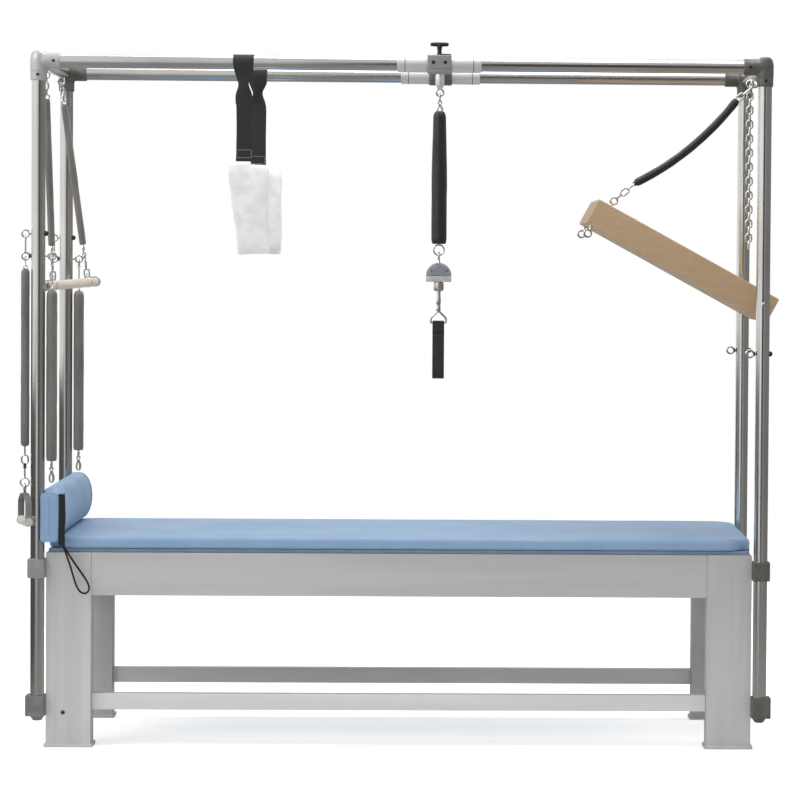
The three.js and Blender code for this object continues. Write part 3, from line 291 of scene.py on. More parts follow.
def box(low, high, r, mat=0):
    """A box with round edges of radius r: rounded rectangles drawn in by a quarter circle at both ends."""
    low, high = np.asarray(low, float), np.asarray(high, float)
    half, middle = (high - low) / 2, (high + low) / 2
    r, steps = min(r, half.min() * 0.98), 4
    a = np.linspace(0, math.pi / 2, steps + 1)
    curve = list(zip(r * (1 - np.sin(a)), r * (1 - np.cos(a))))
    rows = [(i, low[2] + z) for i, z in curve] + [(i, high[2] - z) for i, z in curve[::-1]]
    P = []
    for i, z in rows:
        loop = rounded_loop(half[0] - i, half[1] - i, max(r - i, 0.02), steps)
        P.append(np.column_stack([loop + middle[:2], np.full(len(loop), z)]))
    return grid(P, mat=mat)


def loop(centre, long, side, half_long, half_wide, wire, mat=0):
    """A wire link: a ring of the half width whose two sides are drawn straight along its long axis."""
    long, side = unit(long), unit(side)
    a = np.arange(32) * 2 * math.pi / 32 + math.pi / 32
    radius = min(half_wide, half_long)
    straight = half_long - radius
    path = (np.asarray(centre, float) + np.outer(np.cos(a) * radius + np.sign(np.cos(a)) * straight, long)
            + np.outer(np.sin(a) * half_wide, side))
    return sweep(path, disc(wire, 12), up=np.cross(long, side), ring=True, mat=mat)


def ring(centre, normal, radius, wire, mat=0):
    """A round ring of wire about a normal."""
    e1, e2 = basis(normal)
    return loop(centre, e1, e2, radius, radius, wire, mat)


def turned_to(parts, origin, angle):
    """Parts turned about an axis along Y through the origin: (x cos a + z sin a, y, z cos a - x sin a)."""
    c, s = math.cos(angle), math.sin(angle)
    m = np.array([[c, 0, s], [0, 1, 0], [-s, 0, c]])
    for p in parts:
        p["v"] = (p["v"] - origin) @ m.T + origin
    return parts


def turned_point(point, origin, angle):
    """One point turned in the same way."""
    return turned_to([dict(v=np.asarray(point, float)[None])], origin, angle)[0]["v"][0]


def noise(p, scale, seed=0):
    """Smooth value noise between -1 and 1: random values on a lattice, blended by 3t^2 - 2t^3."""
    q = np.asarray(p, float) / scale + seed * 17.31
    base = np.floor(q).astype(np.int64)
    f = q - base
    f = f * f * (3 - 2 * f)
    total = 0
    for dx in (0, 1):
        for dy in (0, 1):
            for dz in (0, 1):
                k = base + np.array([dx, dy, dz])
                h = (k[..., 0] * 73856093) ^ (k[..., 1] * 19349663) ^ (k[..., 2] * 83492791)
                h = h ^ (seed * 2654435)
                value = ((h * 2654435761) & 0xFFFFFF) / 0x7FFFFF - 1
                w = ((f[..., 0] if dx else 1 - f[..., 0]) * (f[..., 1] if dy else 1 - f[..., 1])
                     * (f[..., 2] if dz else 1 - f[..., 2]))
                total = total + w * value
    return total


def spline(points, count):
    """A smooth path through points, Catmull-Rom between them, at equal steps of its parameter."""
    P = np.asarray(points, float)
    P = np.concatenate([2 * P[:1] - P[1:2], P, 2 * P[-1:] - P[-2:-1]])
    t = np.linspace(0, len(P) - 3 - 1e-9, count)
    i = t.astype(int)
    f = (t - i)[:, None]
    a, b, c, d = P[i], P[i + 1], P[i + 2], P[i + 3]
    return 0.5 * (2 * b + (c - a) * f + (2 * a - 5 * b + 4 * c - d) * f**2 + (3 * b - a - 3 * c + d) * f**3)


def resampled(outline, count, at):
    """A closed outline at equal steps of a measure that its points have, such as the length of arc."""
    closed = np.concatenate([outline, outline[:1]])
    steps = np.linspace(0, at[-1], count, endpoint=False)
    return np.stack([np.interp(steps, at, closed[:, i]) for i in (0, 1)], 1)


def smoothstep(x):
    """3x^2 - 2x^3 on 0..1"""
    x = np.clip(x, 0, 1)
    return x * x * (3 - 2 * x)


def attach(obj, body, replaces):
    """A mesh rides on a CAD body and stands for CAD nodes."""
    if body:
        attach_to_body(obj, body)
    if replaces:
        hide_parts(*replaces)
    return obj


def piece(name, parts, mats, body, replaces=(), smooth=38):
    """One mesh object from surfaces, at the origin, riding on a CAD body and standing for CAD nodes."""
    v = put(np.concatenate([p["v"] for p in parts]))
    loops, starts, totals, uvs, slots = [], [], [], [], []
    start = at = 0
    for p in parts:
        for key, uv, k in (("q", "uq", 4), ("t", "ut", 3)):
            faces = p[key]
            if not len(faces):
                continue
            loops.append((faces + start).ravel())
            starts.append(at + np.arange(len(faces)) * k)
            totals.append(np.full(len(faces), k))
            uvs.append(p[uv].reshape(-1, 2))
            slots.append(np.full(len(faces), p["mat"]))
            at += len(faces) * k
        start += len(p["v"])
    mesh = bpy.data.meshes.new(name)
    mesh.vertices.add(len(v))
    mesh.vertices.foreach_set("co", v.astype(np.float32).ravel())
    mesh.loops.add(at)
    mesh.loops.foreach_set("vertex_index", np.concatenate(loops).astype(np.int32))
    mesh.polygons.add(sum(len(s) for s in starts))
    mesh.polygons.foreach_set("loop_start", np.concatenate(starts).astype(np.int32))
    mesh.polygons.foreach_set("loop_total", np.concatenate(totals).astype(np.int32))
    for m in mats:
        mesh.materials.append(m)
    mesh.update(calc_edges=True)
    mesh.polygons.foreach_set("material_index", np.concatenate(slots).astype(np.int32))
    mesh.polygons.foreach_set("use_smooth", np.ones(len(mesh.polygons), bool))
    layer = mesh.uv_layers.new(name="uv")
    layer.data.foreach_set("uv", np.concatenate(uvs).astype(np.float32).ravel())
    mesh.validate()
    mesh.set_sharp_from_angle(angle=math.radians(smooth))
    return attach(add_object(name, mesh), body, replaces)


# ---- materials: shared effects are node groups that put out colours, masks and normals

def socket(group, name, kind, way, value=None):
    """A named input or output of a node group."""
    s = group.interface.new_socket(name, in_out=way, socket_type="NodeSocket" + kind)
    if value is not None:
        s.default_value = value
    return s


def feed(tree, n, inputs):
    """Sets a node's inputs to values, or links them to sockets or to other nodes' first outputs."""
    for key, value in inputs.items():
        if isinstance(value, bpy.types.Node):
            value = value.outputs[0]
        if isinstance(value, bpy.types.NodeSocket):
            tree.links.new(value, n.inputs[key])
        else:
            n.inputs[key].default_value = value


def node(tree, kind, inputs=None, **settings):
    """A node with its settings and its inputs."""
    n = tree.nodes.new("ShaderNode" + kind)
    for key, value in settings.items():
        setattr(n, key, value)
    feed(tree, n, inputs or {})
    return n


def new_group(name, inputs, outputs):
    """An empty node group, the sockets that its inside reads from and the node that it writes to."""
    group = bpy.data.node_groups.new(name, "ShaderNodeTree")
    for title, kind, value in inputs:
        socket(group, title, kind, "INPUT", value)
    for title, kind in outputs:
        socket(group, title, kind, "OUTPUT")
    return group, group.nodes.new("NodeGroupInput").outputs, group.nodes.new("NodeGroupOutput")


def mottle_group():
    """Slow and fast noise mixed: two tones of a colour and a mask for roughness."""
    g, i, o = new_group("mottle", [
        ("Coordinates", "Vector", None), ("Tone A", "Color", None), ("Tone B", "Color", None),
        ("Stretch", "Vector", (1, 1, 1)), ("Scale", "Float", 8.0), ("Detail", "Float", 4.0),
        ("Low", "Float", 0.35), ("High", "Float", 0.65),
    ], [("Color", "Color"), ("Mask", "Float")])
    scaled = node(g, "VectorMath", {0: i["Coordinates"], 1: i["Stretch"]}, operation="MULTIPLY")
    tex = node(g, "TexNoise", {"Vector": scaled, "Scale": i["Scale"], "Detail": i["Detail"]})
    mask = node(g, "MapRange", {"Value": tex.outputs["Fac"], "From Min": i["Low"], "From Max": i["High"]},
                interpolation_type="SMOOTHSTEP")
    blend = node(g, "MixRGB", {"Fac": mask, "Color1": i["Tone A"], "Color2": i["Tone B"]})
    feed(g, o, {"Color": blend, "Mask": mask})
    return g


def grain_group():
    """Fine noise, stretched along the metal's brushing or left even for a casting, as a bump."""
    g, i, o = new_group("grain", [
        ("Coordinates", "Vector", None), ("Stretch", "Vector", (1, 1, 1)),
        ("Scale", "Float", 600.0), ("Strength", "Float", 0.2), ("Depth", "Float", 0.0002),
    ], [("Normal", "Vector"), ("Mask", "Float")])
    scaled = node(g, "VectorMath", {0: i["Coordinates"], 1: i["Stretch"]}, operation="MULTIPLY")
    tex = node(g, "TexNoise", {"Vector": scaled, "Scale": i["Scale"], "Detail": 3.0})
    bump = node(g, "Bump", {"Height": tex.outputs["Fac"], "Strength": i["Strength"], "Distance": i["Depth"]})
    feed(g, o, {"Normal": bump, "Mask": tex.outputs["Fac"]})
    return g


def weave_group():
    """Webbing from its own UV: ribs across, |sin(pi u / pitch)|, offset every other column of yarn."""
    g, i, o = new_group("weave", [
        ("Pitch", "Float", 0.0022), ("Strength", "Float", 0.6), ("Depth", "Float", 0.0005),
        ("Tone A", "Color", None), ("Tone B", "Color", None),
    ], [("Color", "Color"), ("Normal", "Vector"), ("Mask", "Float")])
    uv = node(g, "UVMap", uv_map="uv")
    parts = node(g, "SeparateXYZ", {0: uv})
    waves = []
    for axis, factor in (("X", 1.0), ("Y", 1.6)):
        ratio = node(g, "Math", {0: parts.outputs[axis], 1: i["Pitch"]}, operation="DIVIDE")
        angle = node(g, "Math", {0: ratio, 1: math.pi * factor}, operation="MULTIPLY")
        wave = node(g, "Math", {0: angle}, operation="SINE")
        waves.append(wave)
    cross = node(g, "Math", {0: waves[0], 1: waves[1]}, operation="MULTIPLY")
    height = node(g, "Math", {0: cross, 1: 0.5, 2: 0.5}, operation="MULTIPLY_ADD")
    coords = node(g, "TexCoord")
    fuzz = node(g, "TexNoise", {"Vector": coords.outputs["Object"], "Scale": 900.0, "Detail": 2.0})
    mixed = node(g, "Math", {0: fuzz.outputs["Fac"], 1: 0.5, 2: height}, operation="MULTIPLY_ADD")
    bump = node(g, "Bump", {"Height": mixed, "Strength": i["Strength"], "Distance": i["Depth"]})
    # The colour follows the weave's height: painted shade in its hollows, painted light on the raised yarn.
    tone = node(g, "MixRGB", {"Fac": height, "Color1": i["Tone A"], "Color2": i["Tone B"]})
    feed(g, o, {"Color": tone, "Normal": bump, "Mask": height})
    return g


def wood_group():
    """Straight grain along X: stretched noise bends fine bands, and short dark pores lie in them."""
    g, i, o = new_group("wood", [
        ("Coordinates", "Vector", None), ("Pale", "Color", None), ("Dark", "Color", None),
        ("Stretch", "Vector", (1.2, 26, 26)), ("Scale", "Float", 9.0),
    ], [("Color", "Color"), ("Roughness", "Float"), ("Normal", "Vector")])
    scaled = node(g, "VectorMath", {0: i["Coordinates"], 1: i["Stretch"]}, operation="MULTIPLY")
    bands = node(g, "TexNoise", {"Vector": scaled, "Scale": i["Scale"], "Detail": 6.0, "Roughness": 0.62})
    fine = node(g, "VectorMath", {0: scaled, 1: (2.0, 5.0, 5.0)}, operation="MULTIPLY")
    pores = node(g, "TexNoise", {"Vector": fine, "Scale": i["Scale"], "Detail": 2.0})
    pit = node(g, "MapRange", {"Value": pores.outputs["Fac"], "From Min": 0.36, "From Max": 0.44})
    band = node(g, "MapRange", {"Value": bands.outputs["Fac"], "From Min": 0.36, "From Max": 0.66})
    tone = node(g, "MixRGB", {"Fac": band, "Color1": i["Dark"], "Color2": i["Pale"]})
    pored = node(g, "MixRGB", {"Fac": pit, "Color1": i["Dark"], "Color2": tone})
    soft = node(g, "MixRGB", {"Fac": 0.6, "Color1": pored, "Color2": tone})
    rough = node(g, "MapRange", {"Value": bands.outputs["Fac"], "To Min": 0.4, "To Max": 0.62})
    bump = node(g, "Bump", {"Height": pit, "Strength": 0.25, "Distance": 0.0003})
    feed(g, o, {"Color": soft, "Roughness": rough, "Normal": bump})
    return g


MOTTLE, GRAIN, WEAVE, WOOD = mottle_group(), grain_group(), weave_group(), wood_group()


def blank(name, color, roughness, metallic=0.0, **shader):
    """A material with its shader, and the shared object coordinates."""
    m = bpy.data.materials.new(name)
    m.use_nodes = True
    m.diffuse_color = (*color, 1)
    tree = m.node_tree
    bsdf = tree.nodes["Principled BSDF"]
    feed(tree, bsdf, {"Base Color": (*color, 1), "Roughness": roughness, "Metallic": metallic})
    feed(tree, bsdf, {key.replace("_", " "): value for key, value in shader.items()})
    coords = node(tree, "TexCoord")
    return m, tree, bsdf, coords.outputs["Object"]


def use(tree, group, inputs):
    """A shared effect placed in a material with its own values."""
    return node(tree, "Group", inputs, node_tree=group)


def surface(name, color, roughness, metallic, other, spread, stretch=(1, 1, 1), scale=8.0, detail=4.0,
            grain=(1, 1, 1), fine=600.0, strength=0.2, depth=0.0002, **shader):
    """A solid finish: two close tones, roughness that varies with them, and a fine bump."""
    m, tree, bsdf, coords = blank(name, color, roughness, metallic, **shader)
    tones = use(tree, MOTTLE, {"Coordinates": coords, "Tone A": (*other, 1), "Tone B": (*color, 1),
                               "Stretch": stretch, "Scale": scale, "Detail": detail})
    rougher, smoother = min(1, roughness + spread), max(0.02, roughness - spread)
    span = node(tree, "MapRange", {"Value": tones.outputs["Mask"], "To Min": rougher, "To Max": smoother})
    bump = use(tree, GRAIN, {"Coordinates": coords, "Stretch": grain, "Scale": fine, "Strength": strength,
                             "Depth": depth})
    feed(tree, bsdf, {"Base Color": tones.outputs["Color"], "Roughness": span,
                      "Normal": bump.outputs["Normal"]})
    return m


def webbing(name, color, pitch=0.0022, **shader):
    """Woven strap: ribs from the piece's own UV and a soft sheen."""
    m, tree, bsdf, _ = blank(name, color, 0.85, **shader)
    # Tone A, darker, is painted shade in the weave's hollows; Tone B, lighter, is painted light on the raised
    # yarn.
    w = use(tree, WEAVE, {"Pitch": pitch, "Strength": 0.6, "Depth": 0.0005,
                          "Tone A": (*(c * 0.55 for c in color), 1),
                          "Tone B": (*(min(1, c * 1.25) for c in color), 1)})
    span = node(tree, "MapRange", {"Value": w.outputs["Mask"], "To Min": 0.95, "To Max": 0.72})
    feed(tree, bsdf, {"Base Color": w.outputs["Color"], "Roughness": span, "Normal": w.outputs["Normal"]})
    return m


def wooden(name, pale, dark, stretch=(1.2, 26, 26), scale=9.0):
    """Lacquered wood with its grain along the axis that is stretched least."""
    m, tree, bsdf, coords = blank(name, pale, 0.5, Coat_Weight=0.12, Coat_Roughness=0.35)
    w = use(tree, WOOD, {"Coordinates": coords, "Pale": (*pale, 1), "Dark": (*dark, 1), "Stretch": stretch,
                         "Scale": scale})
    feed(tree, bsdf, {"Base Color": w.outputs["Color"], "Roughness": w.outputs["Roughness"],
                      "Normal": w.outputs["Normal"]})
    return m


def brushed(name, color, other, blotches, scratches):
    """Aluminium brushed along one axis."""
    return surface(name, color, 0.50, 0.30, other, 0.07, blotches, 3.0, 5.0, scratches, 900.0, 0.18, 0.0002)


def cast(name, color, other, roughness=0.5, metallic=0.35):
    """Cast metal with an even, coarse grain."""
    return surface(name, color, roughness, metallic, other, 0.08, scale=30.0, fine=500.0, strength=0.35,
                   depth=0.0004)


STEEL = surface("polished_steel", (0.63, 0.62, 0.60), 0.21, 1.0, (0.55, 0.54, 0.52), 0.03, (1, 1, 1), 3.0,
                3.0, (30, 30, 30), 20.0, 0.05, 0.00005)
ALONG, UPWARD = ((0.4, 6, 6), (0.02, 1, 1)), ((6, 6, 0.5), (1, 1, 0.02))  # brushing: blotches, scratches
BASE = brushed("brushed_aluminium", (0.53, 0.53, 0.525), (0.48, 0.48, 0.47), *UPWARD)
RAIL = brushed("brushed_aluminium_along", (0.53, 0.53, 0.525), (0.48, 0.48, 0.47), *ALONG)
# A lighter copy of the rail aluminium for the lower rails: painted light.
RAIL_PAINTED_LIGHT = brushed("aluminium_along_painted_light", (0.66, 0.66, 0.655), (0.60, 0.60, 0.59), *ALONG)
SLEEVE_ALU = surface("satin_aluminium", (0.80, 0.80, 0.79), 0.36, 0.6, (0.72, 0.72, 0.71), 0.06, ALONG[0],
                     4.0, 4.0, ALONG[1], 800.0, 0.15, 0.0002)
# Lit and shaded copies of the grey casting. The pale and mid copies are painted light, the dark copy is
# painted shade, and CAST is the casting's own grey.
CAST_PAINTED_LIGHT = cast("cast_grey_painted_light", (0.48, 0.48, 0.48), (0.42, 0.42, 0.42))
CAST_PAINTED_HALF_LIGHT = cast("cast_grey_painted_half_light", (0.31, 0.31, 0.305), (0.27, 0.27, 0.265))
CAST_PAINTED_SHADE = cast("cast_grey_painted_shade", (0.135, 0.135, 0.125), (0.105, 0.105, 0.098), 0.52)
CAST = cast("cast_grey", (0.20, 0.20, 0.195), (0.16, 0.16, 0.155), metallic=0.4)
CHROME = surface("chrome", (0.70, 0.70, 0.69), 0.14, 1.0, (0.60, 0.60, 0.58), 0.05, scale=60.0, strength=0.04,
                 fine=200.0)
BRASSY = surface("coppery_nut", (0.62, 0.54, 0.49), 0.35, 0.9, (0.50, 0.42, 0.37), 0.08, scale=60.0)
DOME = surface("dome_grey", (0.31, 0.33, 0.36), 0.42, 0.3, (0.25, 0.27, 0.30), 0.08, scale=40.0)
DARK_METAL = surface("dark_metal", (0.045, 0.045, 0.043), 0.4, 0.6, (0.03, 0.03, 0.03), 0.1, scale=60.0)
# Near-black for sockets, holes and the split in a clamp block: painted shade, drawn as dark caps and bands
# where no hole or gap is cut.
RECESS_PAINTED_SHADE = surface("recess_painted_shade", (0.012, 0.012, 0.012), 0.7, 0.2, (0.008, 0.008, 0.008), 0.1, scale=60.0)
VINYL = surface("blue_vinyl", (0.222, 0.352, 0.520), 0.52, 0.0, (0.209, 0.332, 0.498), 0.05, scale=5.0,
                detail=3.0, fine=1400.0, strength=0.30, depth=0.0002, Sheen_Weight=0.08, Sheen_Roughness=0.5)
# A darker copy of the blue vinyl: painted shade, used on the piping under the pad's rolled edge and in the
# groove on the bolster's near end.
VINYL_PAINTED_SHADE = surface("blue_vinyl_painted_shade", (0.19, 0.285, 0.41), 0.55, 0.0, (0.17, 0.26, 0.38), 0.05,
                     scale=5.0, detail=3.0, fine=1400.0, strength=0.30, depth=0.0002)
# The deck is wrapped in the pad's vinyl; its darker blue is painted shade under the pad's edge.
DECK_PAINTED_SHADE = surface("deck_board", (0.19, 0.28, 0.39), 0.6, 0.0, (0.165, 0.25, 0.35), 0.08, scale=20.0)
SLEEVE = surface("grey_sleeve", (0.165, 0.158, 0.148), 0.44, 0.0, (0.125, 0.119, 0.110), 0.10, (3, 3, 0.6),
                 12.0, 5.0, (1, 1, 1), 1500.0, 0.25, 0.0003, Sheen_Weight=0.3, Sheen_Roughness=0.45)
SLEEVE_BLACK = surface("black_sleeve", (0.016, 0.016, 0.017), 0.50, 0.0, (0.010, 0.010, 0.011), 0.12,
                       (3, 3, 0.6), 12.0, 5.0, (1, 1, 1), 1500.0, 0.3, 0.0003, Sheen_Weight=0.10,
                       Sheen_Roughness=0.5)
WEBBING = webbing("black_webbing", (0.022, 0.022, 0.024), Sheen_Weight=0.12, Sheen_Roughness=0.5)
WEBBING_THIN = webbing("black_ribbon", (0.012, 0.014, 0.018), pitch=0.0016)
GREY_STRAP = webbing("grey_webbing", (0.20, 0.20, 0.195), pitch=0.0018)
THREAD = surface("white_thread", (0.75, 0.75, 0.72), 0.8, 0.0, (0.6, 0.6, 0.58), 0.05, scale=300.0,
                 fine=2500.0, strength=0.6)
FLEECE = surface("white_fleece", (0.93, 0.93, 0.915), 0.95, 0.0, (0.82, 0.82, 0.80), 0.03, scale=26.0,
                 detail=8.0, fine=420.0, strength=0.9, depth=0.0025, Sheen_Weight=0.4, Sheen_Roughness=0.6)
CREAM = surface("cream_plastic", (0.66, 0.63, 0.55), 0.45, 0.0, (0.58, 0.55, 0.47), 0.06, scale=40.0)
BAND = surface("pale_band", (0.55, 0.55, 0.51), 0.42, 0.2, (0.47, 0.47, 0.44), 0.06, scale=60.0)
BOARD = wooden("tan_wood", (0.50, 0.352, 0.212), (0.43, 0.295, 0.172))
BOARD_END = wooden("tan_wood_end", (0.36, 0.235, 0.130), (0.24, 0.150, 0.080), (10, 10, 10), 14.0)
PALE_WOOD = wooden("pale_wood", (0.70, 0.62, 0.53), (0.60, 0.51, 0.42), (20, 1.0, 20), 9.0)


# ---- shared small parts

def hang(a, b, plan, side=Y, dark=0, wide=8.0, wire=THIN, start=0):
    """A run of hardware between two points: each (kind, share) takes its share of the length.
    Links and rings interlock, so each reaches a wire's radius past its ends, and links take turns."""
    a, b = np.asarray(a, float), np.asarray(b, float)
    down = unit(b - a)
    side = unit(side - down * (side @ down))
    cross = np.cross(down, side)
    total = sum(share for _, share in plan)
    length = np.linalg.norm(b - a)
    at, parts = 0.0, []
    for k, (kind, share) in enumerate(plan):
        step = share / total * length
        p, q = a + down * at, a + down * (at + step)
        middle = (p + q) / 2
        flat = side if (k + start) % 2 == 0 else cross
        if kind == "link":
            half = step / 2 + wire * 0.5
            parts.append(loop(middle, down, flat, half, min(wide, half), wire))
        elif kind == "ring":
            r = step / 2 + wire * 0.5
            parts.append(loop(middle, down, side, r, max(r, wide), wire * 0.9))
        elif kind == "rod":
            parts.append(rod(p - down, q + down, wire * 0.95, 0, 14))
        elif kind == "eyerod":
            r = min(wide * 0.75, step * 0.2)
            parts.append(loop(p + down * (r - wire / 2), down, flat, r, r, wire * 0.85))
            parts.append(loop(q - down * (r - wire / 2), down, flat, r, r, wire * 0.85))
            parts.append(rod(p + down * (2 * r - wire), q - down * (2 * r - wire), wire * 0.85, 0, 14))
        elif kind == "swivel":
            parts.append(lathe([(0, 0), (wire * 1.3, 0), (wire * 2.1, step * 0.2), (wire * 1.5, step * 0.5),
                                (wire * 2.2, step * 0.8), (wire * 1.2, step), (0, step)], p, down, 20, dark))
        elif kind == "snap":
            r = min(wide * 0.62, step * 0.16)
            parts.append(loop(p + down * (r - wire / 2), down, cross, r, r, wire * 0.8))
            neck = p + down * (2 * r - wire)
            collar = [(0, 0), (wire * 1.5, 0), (wire * 1.9, step * 0.05), (wire * 1.5, step * 0.16),
                      (wire * 2.1, step * 0.18), (wire * 1.6, step * 0.24), (0, step * 0.24)]
            parts.append(lathe(collar, neck, down, 20))
            top = neck + down * step * 0.2
            t = np.linspace(0, 2 * math.pi, 41)[:-1]
            half = np.linalg.norm(q - top) / 2 + wire * 0.5
            body = (top + down * half + np.outer(-np.cos(t) * half, down)
                    + np.outer(np.sin(t) * wide * (0.72 - 0.18 * np.cos(t)), flat))
            parts.append(sweep(body, disc(wire, 12), up=np.cross(down, flat), ring=True,
                               size=1 + 0.35 * np.clip(np.sin(t), 0, 1)))
            lever = top + down * half * 0.9 + flat * wide * 0.7
            parts.append(rod(lever - down * 2, lever + flat * 4 - down * 3, wire * 0.8, 0, 12))
        at += step
    return parts


def sleeve(a, b, r0, r1, mat, seed, bend=None, ends=(0.55, 0.78), folds=0.5):
    """A cloth sleeve: radius eased in over its ends, shallow folds along it, and a hem ring at each end."""
    a, b = np.asarray(a, float), np.asarray(b, float)
    length, sides = np.linalg.norm(b - a), 40
    s = np.concatenate([np.linspace(0, 0.06, 14)[:-1], np.linspace(0.06, 0.94, 90),
                        np.linspace(0.94, 1, 14)[1:]])
    path = a + np.outer(s, b - a)
    if bend is not None:
        path = path + np.outer(4 * s * (1 - s), bend)
    reach = np.array([r0 * 1.1, r1 * 0.8]) / length
    ease0 = ends[0] + (1 - ends[0]) * np.sqrt(np.clip(1 - (1 - np.clip(s / reach[0], 0, 1)) ** 2, 0, 1))
    ease1 = ends[1] + (1 - ends[1]) * np.sqrt(np.clip(1 - (1 - np.clip((1 - s) / reach[1], 0, 1)) ** 2, 0, 1))
    radius = (r0 + (r1 - r0) * smoothstep(s * 2)) * ease0 * ease1
    hem = 0.5 * np.exp(-((s * length - 5) / 1.6) ** 2) + 0.5 * np.exp(-(((1 - s) * length - 6) / 1.6) ** 2)
    t = np.arange(sides) * 2 * math.pi / sides
    S, T = np.meshgrid(s, t, indexing="ij")
    lobes = 0.55 * np.sin(3 * T + 5 * S + seed) + 0.45 * np.sin(5 * T - 9 * S + 2 * seed)
    near_end = np.exp(-s * length / 45) + np.exp(-(1 - s) * length / 45)
    wave = noise(np.stack([S * length, np.cos(T) * r0, np.sin(T) * r0], -1), 34.0, seed)
    r = (radius - hem)[:, None] + folds * (wave - 0.6) + 0.35 * near_end[:, None] * (lobes - 0.5)
    section = np.stack([np.cos(T) * r, np.sin(T) * r], -1)
    return sweep(path, section, mat=mat)


def acorn(centre, way, radius, length, mat=0):
    """A six-sided nut with a domed cap."""
    way = unit(way)
    e1, e2 = basis(way)
    a = np.arange(24) * math.pi / 12
    flat = 1 / np.maximum(np.abs(np.cos((a % (math.pi / 3)) - math.pi / 6)), 0.5) * math.cos(math.pi / 6)
    rows = []
    for h, f in ((0, 0.93), (0.08, 1), (0.5, 1), (0.6, 0.94)):
        rows.append(centre + way * length * h + (np.cos(a) * flat * radius * f)[:, None] * e1
                    + (np.sin(a) * flat * radius * f)[:, None] * e2)
    nut = grid(np.array(rows), mat=mat)
    b = np.linspace(0, math.pi / 2, 7)
    cap = [(radius * 0.8 * math.cos(x), length * (0.58 + 0.42 * math.sin(x))) for x in b[:-1]] + [(0, length)]
    return [nut, lathe([(0, length * 0.5)] + cap, centre, way, 24, mat)]


def socket_screw(centre, way, radius):
    """A round screw head; its six-sided socket is a dark cap on the head, painted shade for the hole."""
    way = unit(way)
    centre = np.asarray(centre, float)
    head = lathe([(0, -1), (radius, -1), (radius, 0.7), (radius * 0.86, 1.2), (0, 1.2)], centre, way, 24)
    return [head, lathe([(0, 0.4), (radius * 0.55, 0.4), (radius * 0.55, 1.3), (0, 1.3)], centre, way, 6, 1)]


# ---- tube frame, corners and clamps

def make_tubes():
    """Four uprights, two end tubes and two top bars of the same 42.4 mm tube."""
    low = UPRIGHT_FOOT + GAP
    for end, ex in ENDS:
        for side, sy in SIDES:
            x, y = ex * HALF_X, sy * HALF_Y
            piece(f"upright_tube_{side}_{end}", [tube((x, y, low), (x, y, BAR_Z - TUBE_END), TUBE, WALL)],
                  [STEEL], "frame", [f"upright_{side}_{end}"])
        reach = HALF_Y - TUBE_END
        parts = [tube((ex * HALF_X, -reach, BAR_Z), (ex * HALF_X, reach, BAR_Z), TUBE, WALL)]
        eyes = ((-ROLLDOWN_Y, EYE_LEAN), (ROLLDOWN_Y, EYE_LEAN))
        if ex > 0:
            eyes = ((BOARD_SPRING_Y, EYE_LEAN), (CHAIN_Y, CHAIN_LEAN))
        for y, angle in eyes:
            parts += tube_eye(ex * HALF_X, y, BAR_Z, -ex, angle)
        piece(f"end_bar_{end}", parts, [STEEL, CHROME], "frame", [f"end_tube_{end}"])
    reach = HALF_X - TUBE_END
    for side, sy in SIDES:
        y = sy * HALF_Y
        piece(f"top_tube_{side}", [tube((-reach, y, BAR_Z), (reach, y, BAR_Z), TUBE, WALL)], [STEEL], "frame",
              [f"top_bar_{side}"])


def eye_place(x, y, z, inward, angle=EYE_LEAN):
    """Centre of an eye below an end tube, leaning inwards by an angle: reach * (sin, 0, -cos)."""
    return np.array([x + inward * REACH * math.sin(angle), y, z - REACH * math.cos(angle)])


def tube_eye(x, y, z, inward, angle):
    """An eye screwed into an end tube from below, with its nut."""
    centre = eye_place(x, y, z, inward, angle)
    way = unit(centre - (x, y, z))
    foot = np.array([x, y, z]) + way * TUBE
    return [ring(centre, Y, EYE, WIRE * 0.95, 1), *acorn(foot - way * 0.5, way, 7.2, 4.4, 1),
            rod(foot, centre - way * (EYE - 1), WIRE, 1, 14)]


def fused(name, parts, mats, voxel, rounds, body, replaces):
    """Parts melted into one casting: a voxel remesh joins them and smoothing leaves fillets at the joins."""
    obj = piece(name, parts, mats, None, smooth=180)
    remesh = obj.modifiers.new("remesh", "REMESH")
    remesh.mode, remesh.voxel_size = "VOXEL", voxel * MM
    smooth = obj.modifiers.new("smooth", "SMOOTH")
    smooth.factor, smooth.iterations = 0.5, rounds
    depsgraph = bpy.context.evaluated_depsgraph_get()
    mesh = bpy.data.meshes.new_from_object(obj.evaluated_get(depsgraph))
    obj.modifiers.clear()
    old = obj.data
    obj.data = mesh
    bpy.data.meshes.remove(old)
    mesh.name = name
    mesh.polygons.foreach_set("use_smooth", np.ones(len(mesh.polygons), bool))
    mesh.polygons.foreach_set("material_index", np.zeros(len(mesh.polygons), np.int32))
    mesh.set_sharp_from_angle(angle=math.radians(60))
    return attach(obj, body, replaces)


